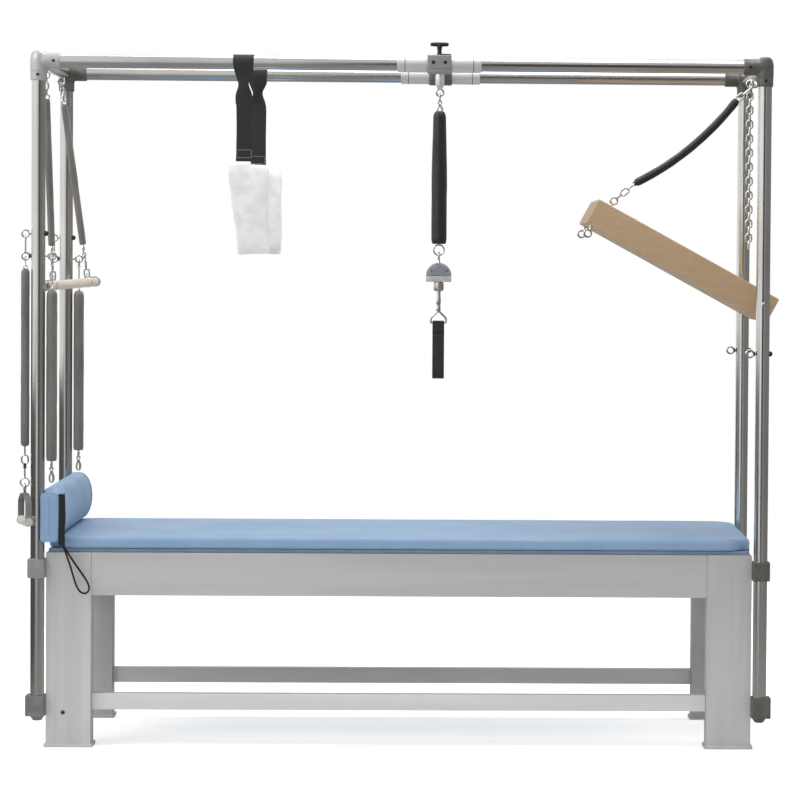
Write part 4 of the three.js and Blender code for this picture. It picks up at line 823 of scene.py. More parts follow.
def make_corners():
    """Three sleeves that meet in a rounded corner, with set screws on their outer sides."""
    crown, sides, lip, voxel, rounds, screw = 31.5, 40, 1.2, 1.5, 7, 4.6
    head = [(0, -30), (HEAD - 0.1, -30), (HEAD, 0)]
    head += [(HEAD * math.cos(a) ** 0.5, crown * math.sin(a)) for a in np.linspace(0.12, 1.45, 10)]
    head.append((0, crown))
    r = FITTING
    for end, ex in ENDS:
        for side, sy in SIDES:
            c = np.array([ex * HALF_X, sy * HALF_Y, BAR_Z])
            # Painted light and shade: the front left fitting takes the lit copy of the casting, and the
            # others take the shaded copy.
            look = CAST_PAINTED_LIGHT if (ex < 0 and sy < 0) else CAST_PAINTED_SHADE
            arms = ((c - Z * FITTING_DOWN, -Z), (c - X * ex * FITTING_X, -X * ex),
                    (c - Y * sy * FITTING_Y, -Y * sy))
            body = [lathe(head, c, Z, sides)] + [rod(c, tip, r, 0, sides, lip) for tip, _ in arms]
            fused(f"corner_{side}_{end}", body, [look], voxel, rounds, "frame",
                  [f"corner_fitting_{side}_{end}"])
            screws = []
            for place, way in (((0, sy * r, -42), Y * sy), ((-ex * 47, sy * r, 0), Y * sy),
                               ((ex * r, -sy * 38, 0), X * ex)):
                screws += socket_screw(c + place, way, screw)
            for tip, way in arms:
                screws.append(tube(tip - way * 3, tip + way * 0.8, r - lip, 4.0, 2, 48))
            piece(f"corner_screws_{side}_{end}", screws, [DARK_METAL, RECESS_PAINTED_SHADE, look], "frame", ())


def make_anchors():
    """Eye bolts through the uprights: two on each left one with a tie between them, one on each right one."""
    reach, inner, bolt = TUBE + EYE_OUT, TUBE + EYE_IN, 3.6
    for side, sy in SIDES:
        y = sy * HALF_Y
        low = BACK_DROP if sy > 0 else 0.0
        upper, lower = np.array([-HALF_X, y, UPPER_EYE_Z - low]), np.array([-HALF_X, y, LOWER_EYE_Z - low])
        tie = (UPPER_EYE_Z - LOWER_EYE_Z) / 2 - EYE + WIRE
        parts = [ring(upper - X * reach, Y, EYE, WIRE), ring(lower - X * reach, Y, EYE, WIRE),
                 ring(lower + X * inner, Y, EYE, WIRE),
                 rod(upper - X * (reach - EYE), upper + X * (TUBE + 6), bolt),
                 rod(lower - X * (reach - EYE), lower + X * (inner - EYE), bolt),
                 loop((upper + lower) / 2 - X * reach, Z, Y, tie, 5.2, 2.3, 0)]
        parts += acorn(upper + X * (TUBE + GAP), X, 8, 9.4, 1)
        parts += acorn(lower - X * (TUBE + 6.6), X, 7.4, 6.4, 1)
        piece(f"spring_eyes_{side}", parts, [CHROME, DARK_METAL], "frame", [f"spring_anchor_{side}"])
        place = np.array([HALF_X, y, RIGHT_EYE_Z - low])
        parts = [ring(place - X * reach, Y, EYE, WIRE),
                 rod(place - X * (reach - EYE), place + X * (TUBE + 6), bolt)]
        parts += acorn(place + X * (TUBE + GAP), X, 8, 9.4, 1)
        parts += acorn(place - X * (TUBE + 6.4), X, 7.4, 6.2, 1)
        piece(f"right_eye_{side}", parts, [CHROME, DARK_METAL], "frame", [f"eyebolt_right_{side}"])


def finish_cad(names, look, width):
    """CAD nodes that stay: a finish in their slots, welded corners and a small round on every sharp edge."""
    for name in names:
        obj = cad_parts[name]
        for slot in obj.material_slots:
            slot.material = look
        weld = obj.modifiers.new("weld", "WELD")
        weld.merge_threshold = 0.00002
        bevel = obj.modifiers.new("bevel", "BEVEL")
        bevel.width, bevel.segments, bevel.limit_method = width * MM, 3, "ANGLE"
        bevel.angle_limit = math.radians(32)
        bevel.harden_normals = True


def make_base():
    """The base and its clamps stay as solids; screws go into the clamps and a plug into each left leg."""
    finish_cad(["end_frame_left", "end_frame_right"], BASE, 2.2)
    finish_cad(["apron_front", "apron_back"], RAIL, 1.6)
    # The lower rails take the lighter copy of the aluminium: painted light.
    finish_cad(["lower_rail_front", "lower_rail_back"], RAIL_PAINTED_LIGHT, 1.6)
    # The deck's darker blue is painted shade.
    finish_cad(["deck_board"], DECK_PAINTED_SHADE, 2.5)
    upper_wall, lower_wall = 5.5, 11.5
    screw_places = ((533.0, upper_wall), (561.0, upper_wall), (114.0, lower_wall), (143.0, lower_wall))
    for end, ex in ENDS:
        for side, sy in SIDES:
            # Painted light and shade: the right clamps take the shaded copy of the casting, and the front
            # left upper clamp takes the half-lit copy.
            upper = lower = CAST_PAINTED_SHADE if ex > 0 else CAST
            if ex < 0 and sy < 0:
                upper = CAST_PAINTED_HALF_LIGHT
            finish_cad([f"upper_clamp_{side}_{end}"], upper, 2.0)
            finish_cad([f"lower_clamp_{side}_{end}"], lower, 2.0)
            screws = []
            for z, wall in screw_places:
                screws += socket_screw((ex * (HALF_X + TUBE + 0.6 + wall - 0.8), sy * HALF_Y, z), X * ex, 4.2)
            piece(f"clamp_screws_{side}_{end}", screws, [DARK_METAL, RECESS_PAINTED_SHADE], "frame", ())
    plugs = []
    for _, sy in SIDES:
        spot = np.array([-(BASE_X - 52), sy * BASE_Y, 106.0])
        plugs.append(lathe([(0, -2), (7.4, -2), (7.4, 0.4), (5.6, 1.0), (0, 0.5)], spot, Y * sy, 32, 0))
        # The plug's hole is a dark disc: painted shade.
        plugs.append(lathe([(0, 0.2), (4.4, 0.2), (4.2, 1.2), (0, 1.3)], spot, Y * sy, 24, 1))
    piece("leg_plugs", plugs, [CAST, RECESS_PAINTED_SHADE], "frame", ())


# ---- trolley, centre spring and sling

def make_trolley():
    """Sleeves on both bars, a block clamped on each, the bar between them and the knob."""
    x0, half, ends = TROLLEY_X, 128, 104
    block_x, block_y, block_z = 37, 29, 27.5
    for side, sy in SIDES:
        y = sy * HALF_Y
        parts = [tube((x0 - half, y, BAR_Z), (x0 + half, y, BAR_Z), 25.0, 3.2, 0, 64, 1.0)]
        for x in (x0 - ends, x0 + ends):
            parts.append(tube((x - 1.2, y, BAR_Z), (x + 1.2, y, BAR_Z), 25.35, 3.0, 1, 64, 0.3))
        piece(f"slide_{side}", parts, [SLEEVE_ALU, CAST], "trolley", [f"trolley_sleeve_{side}"])
        low, high = np.array([x0, y, BAR_Z]) + np.outer((-1, 1), (block_x, block_y, block_z))
        parts = [box(low, high, 3.2)]
        # A dark band round the block: painted shade in the split between its halves.
        parts.append(box((x0 - block_x - 0.2, y - block_y - 0.1, BAR_Z - 14.2),
                         (x0 + block_x + 0.2, y + block_y + 0.1, BAR_Z - 13.0), 0.5, 1))
        for x in (-18, 18):
            spot = np.array([x0 + x, y + sy * block_y, BAR_Z + 5])
            parts.append(lathe([(0, -3), (5.6, -3), (5.6, 0.3), (4.8, 0.7), (0, 0.7)], spot, Y * sy, 24, 2))
            # Each screw's socket is a dark six-sided cap: painted shade for the hole.
            parts.append(lathe([(0, 0), (3.2, 0), (3.2, 0.9), (0, 0.9)], spot, Y * sy, 6, 1))
        parts.append(box((x0 + 6, y - 20, BAR_Z + 26), (x0 + 35, y + 20, BAR_Z + 31.5), 1.2, 2))
        # Painted light and shade: the front block takes the half-lit copy of the casting, and the back block
        # takes the shaded copy.
        look = CAST_PAINTED_HALF_LIGHT if sy < 0 else CAST_PAINTED_SHADE
        piece(f"clamp_block_{side}", parts, [look, RECESS_PAINTED_SHADE, DARK_METAL], "trolley",
              [f"trolley_block_{side}"])
    c = np.array([x0, 0.0, BAR_Z])
    reach = HALF_Y - 29.3
    neck = [(0, 12), (13.4, 12), (14, 18), (14, 43), (13.2, 46), (9.4, 52), (8.2, 57), (7, 59), (0, 59)]
    parts = [tube(c - Y * reach, c + Y * reach, 15, 2), lathe(neck, c, -Z, 40, 1),
             ring(c - Z * 68.4, Y, EYE, WIRE)]
    piece("cross_tube", parts, [CHROME, SLEEVE_ALU], "trolley", ["trolley_crossbar"])

    k = np.array([x0, -HALF_Y, BAR_Z])
    seat, stem_height, grip_length, grip_radius = 27.8, 33, 56, 6.8
    bar_z = seat + stem_height
    stem = [(0, 0), (8.6, 0), (9.2, 2.4), (8.8, 3.6), (6.6, 5), (6.4, 14), (7.4, 20), (8.2, 26)]
    stem = [(r, seat + h) for r, h in stem] + [(8.0, bar_z), (0, bar_z)]
    grip = [(0, 0)]
    for t in np.linspace(0, 1, 25):
        swell = (0.82 + 0.18 * math.sin(math.pi * t)) * min(1, 0.55 + 8 * min(t, 1 - t))
        grip.append((grip_radius * swell, grip_length * t))
    grip.append((0, grip_length))
    thread = [(0, 0)] + [(3.4 + 0.35 * (i % 2), 2 + i * 0.9) for i in range(12)] + [(0, 14)]
    parts = [lathe(stem, k, Z, 36), lathe(grip, k + Z * bar_z - X * grip_length / 2, X, 28),
             lathe(thread, k + Z * 17, Z, 20)]
    piece("knob", parts, [DARK_METAL], "knob", ["trolley_knob"])


def below_trolley(z):
    """A point at a height on the plumb line through the middle of the trolley."""
    return np.array([TROLLEY_X, 0.0, z])


def make_centre_spring(top):
    """The spring in its black sleeve with a seam: a link and a snap hook over it, a ring below."""
    at = below_trolley
    parts = hang(at(top), at(top - 56), [("link", 22), ("snap", 34)], Y, wide=9.5)
    parts.append(rod(at(top - 466), at(top - 478), 2.4, 0, 16))
    parts += hang(at(top - 476), at(top - 506), [("ring", 30)], X, wide=9)
    black = sleeve(at(top - 54), at(top - 472), 20.5, 24.5, 1, 3, folds=0.35, ends=(0.5, 0.8))
    seam = np.array([at(top - z) + (6.0, -(20.4 + 3.6 * (z - 70) / 390), 0)
                     for z in np.linspace(70, 455, 40)])
    parts += [black, sweep(seam, slab(1.6, 0.7), up=Y, mat=1)]
    piece("centre_sleeve", parts, [CHROME, SLEEVE_BLACK], "centre_spring", ["centre_spring"])


def make_hanger():
    """The hanger, a half round with broken edges under an eye, and the pale band below it."""
    x, half, foot, high = TROLLEY_X, 40, 1441.4, 41
    a = np.linspace(0, math.pi, 33)
    edge = np.stack([half * np.cos(a), foot + high * np.sin(a)], 1)
    low = np.stack([np.linspace(-half, half, 12)[1:-1], np.full(10, foot)], 1)
    outline = np.concatenate([edge, low])
    middle = np.array([0, foot + 14])
    rows = []
    for y, f in ((-17, 0.86), (-16.2, 0.93), (-14.6, 0.975), (-12, 1), (12, 1), (14.6, 0.975), (16.2, 0.93),
                 (17, 0.86)):
        p = middle + (outline - middle) * f
        rows.append(np.column_stack([p[:, 0] + x, np.full(len(p), float(y)), p[:, 1]]))
    stem = [(0, 1478), (6.6, 1479), (6.4, 1482), (4.2, 1486), (3.4, 1491.6), (0, 1491.6)]
    parts = [grid(np.array(rows)), ring(below_trolley(1503), X, EYE, WIRE, 1),
             lathe(stem, below_trolley(0), Z, 28, 1)]
    for dx in (-24, 24):
        parts.append(lathe([(0, 0), (3.2, 0), (3.0, 1.2), (0, 1.5)], (x + dx, -16.6, 1458), -Y, 20, 1))
    piece("hanger_dome", parts, [DOME, CHROME, DARK_METAL], "sling_hanger", ["sling_hanger_block"])
    band = [box((x - half, -17, 1422.1), (x + half, 17, 1441.1), 3.0)]
    band.append(box((x - half + 0.4, -16.6, 1437.6), (x + half - 0.4, 16.6, 1438.8), 0.5, 1))
    piece("hanger_band", band, [BAND, CAST], "sling_hanger", ["sling_hanger_band"])


def make_swivel(foot):
    """A nut, a rod and a five-sided wire ring with round corners: at each corner the path is a parabola
    (1 - s)^2 a + 2 s (1 - s) corner + s^2 b."""
    nut = [(0, 1392.8), (11.5, 1392.8), (15.2, 1396), (16, 1400), (16, 1416), (15, 1420), (12.6, 1421.8),
           (0, 1421.8)]
    stem = [(0, 1330), (6.0, 1330), (7.4, 1334), (6.6, 1340), (6.4, 1352), (7.2, 1356), (7.6, 1366),
            (6.6, 1374), (6.4, 1380), (6.4, 1393), (0, 1393)]
    radius, wire = 6.0, 3.2
    corners = np.array([(0, 1330.8), (24, 1307.8), (24, foot), (-24, foot), (-24, 1307.8)])
    path = []
    for k in range(5):
        before, corner, after = corners[k - 1], corners[k], corners[(k + 1) % 5]
        a, b = corner + unit(before - corner) * radius, corner + unit(after - corner) * radius
        for s in np.linspace(0, 1, 7):
            path.append((1 - s) ** 2 * a + 2 * s * (1 - s) * corner + s * s * b)
        for s in np.linspace(0, 1, 6)[1:-1]:
            path.append(b + (after - unit(after - corner) * radius - b) * s)
    path = np.array(path)
    path = np.column_stack([path[:, 0] + TROLLEY_X, np.zeros(len(path)), path[:, 1]])
    axis = below_trolley(0)
    parts = [lathe(nut, axis, Z, 36, 1), lathe(stem, axis, Z, 28),
             sweep(path, disc(wire, 14), up=Y, ring=True)]
    piece("swivel_ring", parts, [CHROME, BRASSY], "sling_link", ["sling_link"])


def make_sling_webbing(foot):
    """Webbing looped over the ring's foot, hanging in a drop shape, sewn and clasped below the ring."""
    x = TROLLEY_X
    right = [(0, 5.6), (4.6, 3.4), (5.8, -8), (7.4, -46), (11.2, -104), (13.6, -146), (10.6, -168),
             (0, -174.2)]
    right = spline(right, 60)
    outline = np.concatenate([right, (right * (-1, 1))[::-1][1:-1]])
    path = np.column_stack([np.full(len(outline), x), outline[:, 0], foot + outline[:, 1]])
    parts = [sweep_band(path, X, 37, 3.2)]
    parts += stitches((x - 14, -9.6, foot - 40), (x + 14, -9.6, foot - 40), 9, Y, 1, (2.0, 0.6))
    parts.append(box((x - 19, -10.2, foot - 30), (x + 19, 10.2, foot - 24), 1.4, 2))
    piece("sling_webbing", parts, [WEBBING, GREY_STRAP, DARK_METAL], "sling_strap", ["sling_strap"])


def make_sling():
    """What hangs from the trolley, from the crossbar's eye down to the webbing."""
    spring_top, ring_foot = 2013.3, 1292.8
    make_centre_spring(spring_top)
    make_hanger()
    make_swivel(ring_foot)
    make_sling_webbing(ring_foot)


def unit_rows(p):
    """Each row over its length."""
    p = np.asarray(p, float)
    return p / (np.linalg.norm(p, axis=1)[:, None] + 1e-9)


def sweep_band(path, across, width, thickness, mat=0, closed=True, widths=None, lean=None):
    """A flat strap along a path, closed or open: its width lies along one direction, turned by lean."""
    path = np.asarray(path, float)
    tangent = (np.roll(path, -1, 0) - np.roll(path, 1, 0)) if closed else np.gradient(path, axis=0)
    tangent = unit_rows(tangent)
    e1 = np.broadcast_to(np.asarray(across, float), path.shape)
    e1 = unit_rows(e1 - tangent * np.einsum("ij,ij->i", e1, tangent)[:, None])
    e2 = np.cross(tangent, e1)
    if lean is not None:
        c, s = np.cos(lean)[:, None], np.sin(lean)[:, None]
        e1, e2 = e1 * c + e2 * s, e2 * c - e1 * s
    section = slab(1, thickness / width)
    factor = np.full(len(path), width) if widths is None else np.asarray(widths, float)
    a = section[:, 0][None] * factor[:, None]
    b = section[:, 1][None] * width * np.ones((len(path), 1))
    P = path[:, None] + a[..., None] * e1[:, None] + b[..., None] * e2[:, None]
    return grid(P, ring=closed, mat=mat)


def stitches(a, b, count, out, mat=0, size=(2.6, 0.9)):
    """A row of short raised threads between two points."""
    a, b = np.asarray(a, float), np.asarray(b, float)
    along = unit(b - a)
    parts = []
    for k in range(count):
        c = a + (b - a) * (k + 0.5) / count
        t = np.linspace(-1, 1, 5)
        path = c + np.outer(t * size[0] / 2, along) + np.outer((1 - t * t) * 0.5, -unit(out))
        parts.append(sweep(path, disc(size[1] / 2, 8), mat=mat))
    return parts


# ---- loop straps and fleece cuffs

def make_loop_strap(side, sy):
    """Webbing over the bar whose two plies narrow and turn below it, then run down together, sewn."""
    ply, half_ply, joint, width, wide = 3.0, 1.65, -124, 50, 63
    y, r = sy * HALF_Y, TUBE + 0.6 + 1.6
    c = np.array([STRAP_X, y, BAR_Z])
    a = np.linspace(-0.25, math.pi + 0.25, 40)
    over = np.column_stack([np.zeros(40), r * np.cos(a), r * np.sin(a)])
    down = spline([over[-1], (2, -15, -52), (3, -4.5, -92), (3, -1.7, joint)], 26)[1:]
    up = spline([(1, 1.7, joint), (-2, 4.5, -92), (-3, 15, -52), over[0]], 26)[:-1]
    path = c + np.concatenate([up, over, down])
    s = np.linspace(-1, 1, len(path))
    z = path[:, 2] - BAR_Z
    pinch = np.exp(-((z + 62) / 26) ** 2)
    widths = width + (wide - width) * smoothstep((z + 90) / 100) - 21 * pinch
    lean = 0.62 * pinch * np.sign(s) * (0.7 if sy < 0 else -0.9)
    parts = [sweep_band(path, X, width, ply, 0, False, widths, lean)]
    t = np.linspace(0, 1, 30)
    for k, off in enumerate((-half_ply, half_ply)):
        p = np.column_stack([2.5 + 0.6 * np.sin(3 * t + k), np.full(30, off), joint + 12 - 187 * t]) + c
        parts.append(sweep_band(p, X, width, ply, 0, False, width - 2.0 * np.sin(math.pi * t)))
    seam_top, seam_foot, face = -264, -288, -3.5
    for row in (seam_top, seam_foot):
        parts += stitches(c + (-19, face, row), c + (23, face, row), 14, Y, 1, (2.0, 0.7))
    for dx in (-20, 24):
        parts += stitches(c + (dx, face, seam_foot), c + (dx, face, seam_top), 8, Y, 1, (2.0, 0.7))
    body = f"loop_strap_{side}"
    piece(f"hanging_strap_{side}", parts, [WEBBING, THREAD], body, [body])


def make_cuff(side, sy):
    """A fleece band bent into a tall closed loop with a slit through it, its pile lumpy and uneven."""
    c = np.array([STRAP_X + 18, sy * HALF_Y, BAR_Z - 300.3])
    n, m = ((220, 110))
    t = np.arange(n) * 2 * math.pi / n
    half_z, half_y, middle = 123.0, 20.5, -145
    py = half_y * np.sign(np.sin(t)) * np.abs(np.sin(t)) ** 0.55
    pz = middle + half_z * np.sign(np.cos(t)) * np.abs(np.cos(t)) ** 0.9
    path = np.column_stack([np.zeros(n), py, pz])
    drop = (middle + half_z - pz) / (2 * half_z)
    path[:, 0] = 15.0 * smoothstep(drop) ** 0.8 - 2
    section = rounded_loop(62.0, 13.0, 12.4, 14, 14)
    section = resampled(section, m, np.arange(len(section) + 1))
    tangent = unit_rows(np.roll(path, -1, 0) - np.roll(path, 1, 0))
    e1 = unit_rows(X - tangent * tangent[:, :1])
    e2 = np.cross(tangent, e1)
    width = 1 - 0.22 * smoothstep(drop) ** 0.8 - 0.05 * smoothstep((0.06 - drop) * 12)
    across = (section[None, :, :1] * width[:, None, None]) * e1[:, None]
    P = c + path[:, None] + across + section[None, :, 1:] * e2[:, None]
    s = grid(P, ring=True)
    v = s["v"]
    out = v - np.repeat(c + path, m, 0)
    out[:, 0] *= 0.25
    out = unit_rows(out)
    lumps = 0
    for height, scale, seed in ((1.9, 34, 5 + sy), (1.25, 13, 8 + sy), (0.8, 5.5, 11 + sy), (0.4, 2.8, 14)):
        lumps = lumps + height * noise(v, scale, seed)
    s["v"] = v + out * (lumps - 0.6)[:, None]
    s["v"][:, 0] += 2.0 * noise(v, 40, 21)
    body = f"fleece_cuff_{side}"
    obj = piece(f"cuff_{side}", [outward(s)], [FLEECE], body, [body], 75)


# ---- left end: roll-down bar, arm spring with its handle, leg springs

def make_rolldown():
    """Two sleeved springs lean in to a pale bar, and from the ring of each a wire slants to the bar's end."""
    origin = eye_place(-HALF_X, 0.0, BAR_Z, 1) - Z * HANG
    leans = (("front", -1, 0.037), ("back", 1, 0.135))
    bar_drop, bar_radius, bar_length, shown = 644.0, 14.5, 548, 368
    lowest = lambda sy, lean: turned_point(origin + (0, sy * ROLLDOWN_Y, -bar_drop), origin, -lean)
    front, back = (lowest(sy, lean) for _, sy, lean in leans)
    beyond = (back - front) * ((bar_length / shown - 1) / 2)
    a, b = front - beyond, back + beyond
    way, length = unit(b - a), np.linalg.norm(b - a)
    profile = [(0, 0), (12.6, 0), (14.2, 1.6), (bar_radius, 4)]
    profile += [(bar_radius, 4 + (length - 8) * i / 20) for i in range(21)]
    profile += [(14.2, length - 1.6), (12.6, length), (0, length)]
    parts = [lathe(profile, a, way, 56, 0)]
    for (side, sy, lean), end in zip(leans, (a, b)):
        o = origin + Y * sy * ROLLDOWN_Y
        at = lambda z: o - Z * z
        hung = hang(at(0), at(70), [("snap", 44), ("link", 20), ("link", 16)], X)
        hung += hang(at(522), at(623.1), [("ring", 26), ("snap", 52), ("link", 23)], Y, start=1)
        hung.append(sleeve(at(70), at(522), 11.2, 11.2, 1, 2 + sy, folds=0.5, ends=(0.7, 0.8)))
        piece(f"rolldown_sleeve_{side}", turned_to(hung, origin, -lean), [CHROME, SLEEVE], "rolldown",
              [f"rolldown_spring_{side}"])
        hole = [ring(at(624), Y, 7, 2.6, 1), rod(at(bar_drop - 12), at(bar_drop - 6), 2.8, 1, 14),
                tube(at(bar_drop) - Y * 7, at(bar_drop) + Y * 7, 15.4, 2.2, 1, 48, 0.8)]
        parts += turned_to(hole, origin, -lean)
        ring_foot = turned_point(at(bar_drop - 17), origin, -lean)
        tip = end - way * sy * 8.0
        parts.append(rod(ring_foot, tip + Z * 15.0, 2.2, 1, 16))
        parts.append(rod(tip + Z * 14.0, tip + Z * 19.0, 3.4, 1, 16))
        cap = [(bar_radius, -17), (15.4, -16.4), (15.4, -1), (14.6, 0.4), (6, 0.8), (0, 0.8)]
        parts.append(lathe(cap, end, way * sy, 48, 1))
    piece("rolldown_bar_wood", parts, [PALE_WOOD, CHROME], "rolldown", ["rolldown_bar"])


def make_side_springs():
    """The arm spring outside the front upright and the leg springs inside both, in grey sleeves."""
    outer, inner = -HALF_X - TUBE - EYE_OUT, -HALF_X + TUBE + EYE_IN
    at = lambda z: np.array([outer, -HALF_Y, SPRING_TOP - z])
    parts = hang(at(0), at(34), [("eyerod", 34)], X, wide=7, wire=2.2)
    foot = [("rod", 14), ("rod", 14), ("link", 24), ("swivel", 16), ("rod", 30), ("ring", 24)]
    parts += hang(at(574), at(696), foot, X, dark=2, wide=10, wire=2.6)
    parts.append(sleeve(at(34), at(574), 13.4, 13.4, 1, 7, folds=0.5, ends=(0.35, 0.5)))
    piece("arm_sleeve", parts, [CHROME, SLEEVE, DARK_METAL], "arm_spring", ["arm_spring"])
    for side, sy in SIDES:
        top = SPRING_TOP - (BACK_DROP if sy > 0 else 0.0)
        at = lambda z: np.array([inner, sy * HALF_Y, top - z])
        head = [("link", 18), ("swivel", 8), ("rod", 58), ("swivel", 8), ("link", 10)]
        parts = hang(at(0), at(102), head, Y, wide=7, wire=2.6)
        parts += hang(at(617), at(680), [("ring", 22), ("snap", 41)], Y, wide=8, wire=2.8)
        parts.append(sleeve(at(100), at(618), 16.9, 16.9, 1, 9 + sy, folds=0.5, ends=(0.5, 0.85)))
        body = f"leg_spring_{side}"
        piece(f"leg_sleeve_{side}", parts, [CHROME, SLEEVE], body, [body])


def make_handle():
    """A webbing stirrup from a ring to both ends of a ribbed cream grip."""
    o = np.array([-HALF_X - TUBE - EYE_OUT, -HALF_Y, 802.4])
    turn = -1.2
    along = np.array([math.cos(turn), math.sin(turn), 0])
    across = np.array([-math.sin(turn), math.cos(turn), 0])
    half, drop, shoulder, neck = 50.0, 112.0, 50.4, 28.0
    side = [(half - 1.7, -drop), (half - 1.7, -shoulder - 12), (half - 5, -shoulder + 1),
            (half / 2 + 3, -neck - 8), (half / 3 - 3, -neck - 1.2)]
    path = spline(side + [(0, -neck - 0.6)] + [(-x, z) for x, z in side[::-1]], 110)
    P = o + np.outer(path[:, 0], along) + np.outer(path[:, 1], Z)
    strap = sweep_band(P, across, 20, 3.2, 1, False)
    parts = [strap, ring(o - Z * EYE, X, EYE, WIRE), rod(o - Z * 20, o - Z * 32, 4, 0, 20)]
    length, radius, ribs = 78, 14.4, 20
    grip = []
    for t in np.arange(61) / 60:
        swell = radius * (0.93 + 0.07 * math.sin(math.pi * t))
        rib = 0.5 * (0.5 + 0.5 * math.cos(t * 2 * ribs * math.pi))
        grip.append((swell - rib, (t - 0.5) * length))
    middle = o - Z * drop
    parts.append(lathe([(0, -39.4)] + grip + [(0, 39.4)], middle, along, 48, 2))
    cap = [(0, 38.5), (12.6, 38.5), (14.2, 41), (14.2, 47), (12.8, 50.6), (7, 51), (0, 51)]
    for way in (-1, 1):
        parts.append(lathe(cap, middle, along * way, 40, 3))
    for way in (-1, 1):
        p = o + along * way * half - Z * 96
        parts += stitches(p - across * 7, p + across * 7, 5, -along * way, 4)
    piece("stirrup_handle", parts, [CHROME, GREY_STRAP, CREAM, BAND, THREAD], "arm_handle", ["arm_handle"])


# ---- right end: board, its spring, and the safety chain

def make_board():
    """A thick wooden board with broken edges, an axle through it and eyes on its plates; then its spring."""
    pivot, tilt = np.array([HALF_X, 0.0, 1363.0]), 0.499
    left, right, h, wide = -593.0, 44.0, 42.0, 256
    edge = 5
    parts = [box(pivot + (left, -wide, -h), pivot + (right, wide, h), 5.0, 0)]
    for low, high in ((left - 0.25, left + 4), (right - 4, right + 0.25)):
        parts.append(box(pivot + (low, edge - wide, edge - h), pivot + (high, wide - edge, h - edge), 1.2, 1))
    end = HALF_Y + TUBE + GAP
    parts.append(rod(pivot - Y * end, pivot + Y * end, 6, 2))
    for _, sy in SIDES:
        parts += acorn(pivot + Y * sy * end, Y * sy, 7.4, 4, 2)
        parts.append(tube(pivot + Y * sy * wide, pivot + Y * sy * (wide + 6), 14, 7.6, 2, 40))
    top = h + 25
    for x, y, way in ((left + 52, -34.0, 1), (left + 22, -235.0, -1), (left + 22, 235.0, -1)):
        c = pivot + (x, y, way * top)
        foot = pivot + (x, y, way * h)
        parts += [ring(c, Y, EYE, WIRE, 2), rod(foot - Z * way, c - Z * way * (EYE - 1), 3, 2, 16),
                  lathe([(0, -1), (9, -1), (9, 1), (5, 2.4), (4.4, 5), (0, 5)], foot, Z * way, 28, 2)]
    turned_to(parts, pivot, tilt)
    piece("board", parts, [BOARD, BOARD_END, CHROME, DARK_METAL], "board", ["swing_board"])

    tip = turned_point(pivot + (left + 52, BOARD_SPRING_Y, top), pivot, tilt)
    o = eye_place(HALF_X, BOARD_SPRING_Y, BAR_Z, -1) - Z * HANG
    span = math.hypot(tip[0] - o[0], tip[2] - o[2])
    way = unit((tip - o) * (1, 0, 1))
    at = lambda s: o + way * s
    sag = np.array([-way[2], 0, way[0]])
    sag = sag if sag[2] < 0 else -sag
    parts = hang(at(0), at(74), [("snap", 46), ("link", 28)], Y)
    parts.append(sleeve(at(72), at(486), 12.9, 12.9, 1, 5, bend=sag * 24.0, folds=0.7, ends=(0.6, 0.7)))
    sleeved = piece("board_sleeve", parts, [CHROME, SLEEVE_BLACK], None, ["board_spring"])
    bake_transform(sleeved)
    parts = [rod(at(470), at(493), 7.2, 1, 20)]
    parts += hang(at(490), at(span - 31), [("link", 20), ("link", 20)], Y, wide=8.5, wire=THIN)
    parts += [rod(at(span - 32), at(span - 10), WIRE, 0, 16), ring(at(span), Y, EYE, WIRE * 0.95, 0)]
    piece("board_hook", parts, [CHROME, DARK_METAL], "board_spring_hook", ["board_spring_hook"])


def make_chain():
    """The safety chain: 23 links that hang straight down from their eye."""
    top, length = eye_place(HALF_X, CHAIN_Y, BAR_Z, -1, CHAIN_LEAN) - Z * HANG, 516
    links = hang(top, top - Z * length, [("link", 1)] * 23, Y, wide=8.8, wire=3.1)
    piece("chain", links, [CHROME], "safety_chain", ["safety_chain"], 60)


# ---- padded top and bolster

def make_pad():
    """The mattress: rings of its rounded outline from its tucked-in foot up over a soft edge to a low crown.
    Height over the top is the roll of the edge plus a crown that grows with the distance from the edge."""
    foot, corner, crown = 607.3, 85.0, 0.7
    side = [(12.5, 0.0), (6.0, 1.2), (2.6, 3.4), (0.9, 7.5), (0.2, 13), (0.0, 18), (0.5, 23), (1.8, 27),
            (3.8, 30.2), (6.6, 32.8), (10.2, 34.5), (14.5, 35.4)]
    rows = [(inset, foot + z) for inset, z in side]
    for inset in (20, 27, 36, 48, 64, 84, 110, 145, 190, 240, 290, 322):
        rows.append((inset, PAD_TOP - 0.9 + crown * smoothstep(inset / 120)))
    P = []
    for inset, z in rows:
        outline = rounded_loop(BASE_X - inset, BASE_Y - inset, max(corner - inset * 0.8, 5.0), 16, 90)
        n = len(outline)
        p = np.column_stack([outline, np.full(n, z)])
        if 0.5 < inset < 200 and z > foot + 20:
            waves = noise(np.column_stack([outline, np.zeros(n)]), 130, 3)
            p[:, 2] += 0.3 * waves * smoothstep((z - foot - 18) / 15)
        P.append(p)
    # The piping takes the darker vinyl: painted shade under the rolled edge.
    piping = rounded_loop(BASE_X - 3.0, BASE_Y - 3.0, corner - 2, 16, 60)
    path = np.column_stack([piping, np.full(len(piping), foot + 3.6)])
    parts = [grid(np.array(P), mat=0), sweep(path, disc(2.3, 10), up=Z, ring=True, mat=1)]
    obj = piece("pad", parts, [VINYL, VINYL_PAINTED_SHADE], "frame", ["mattress"], 80)


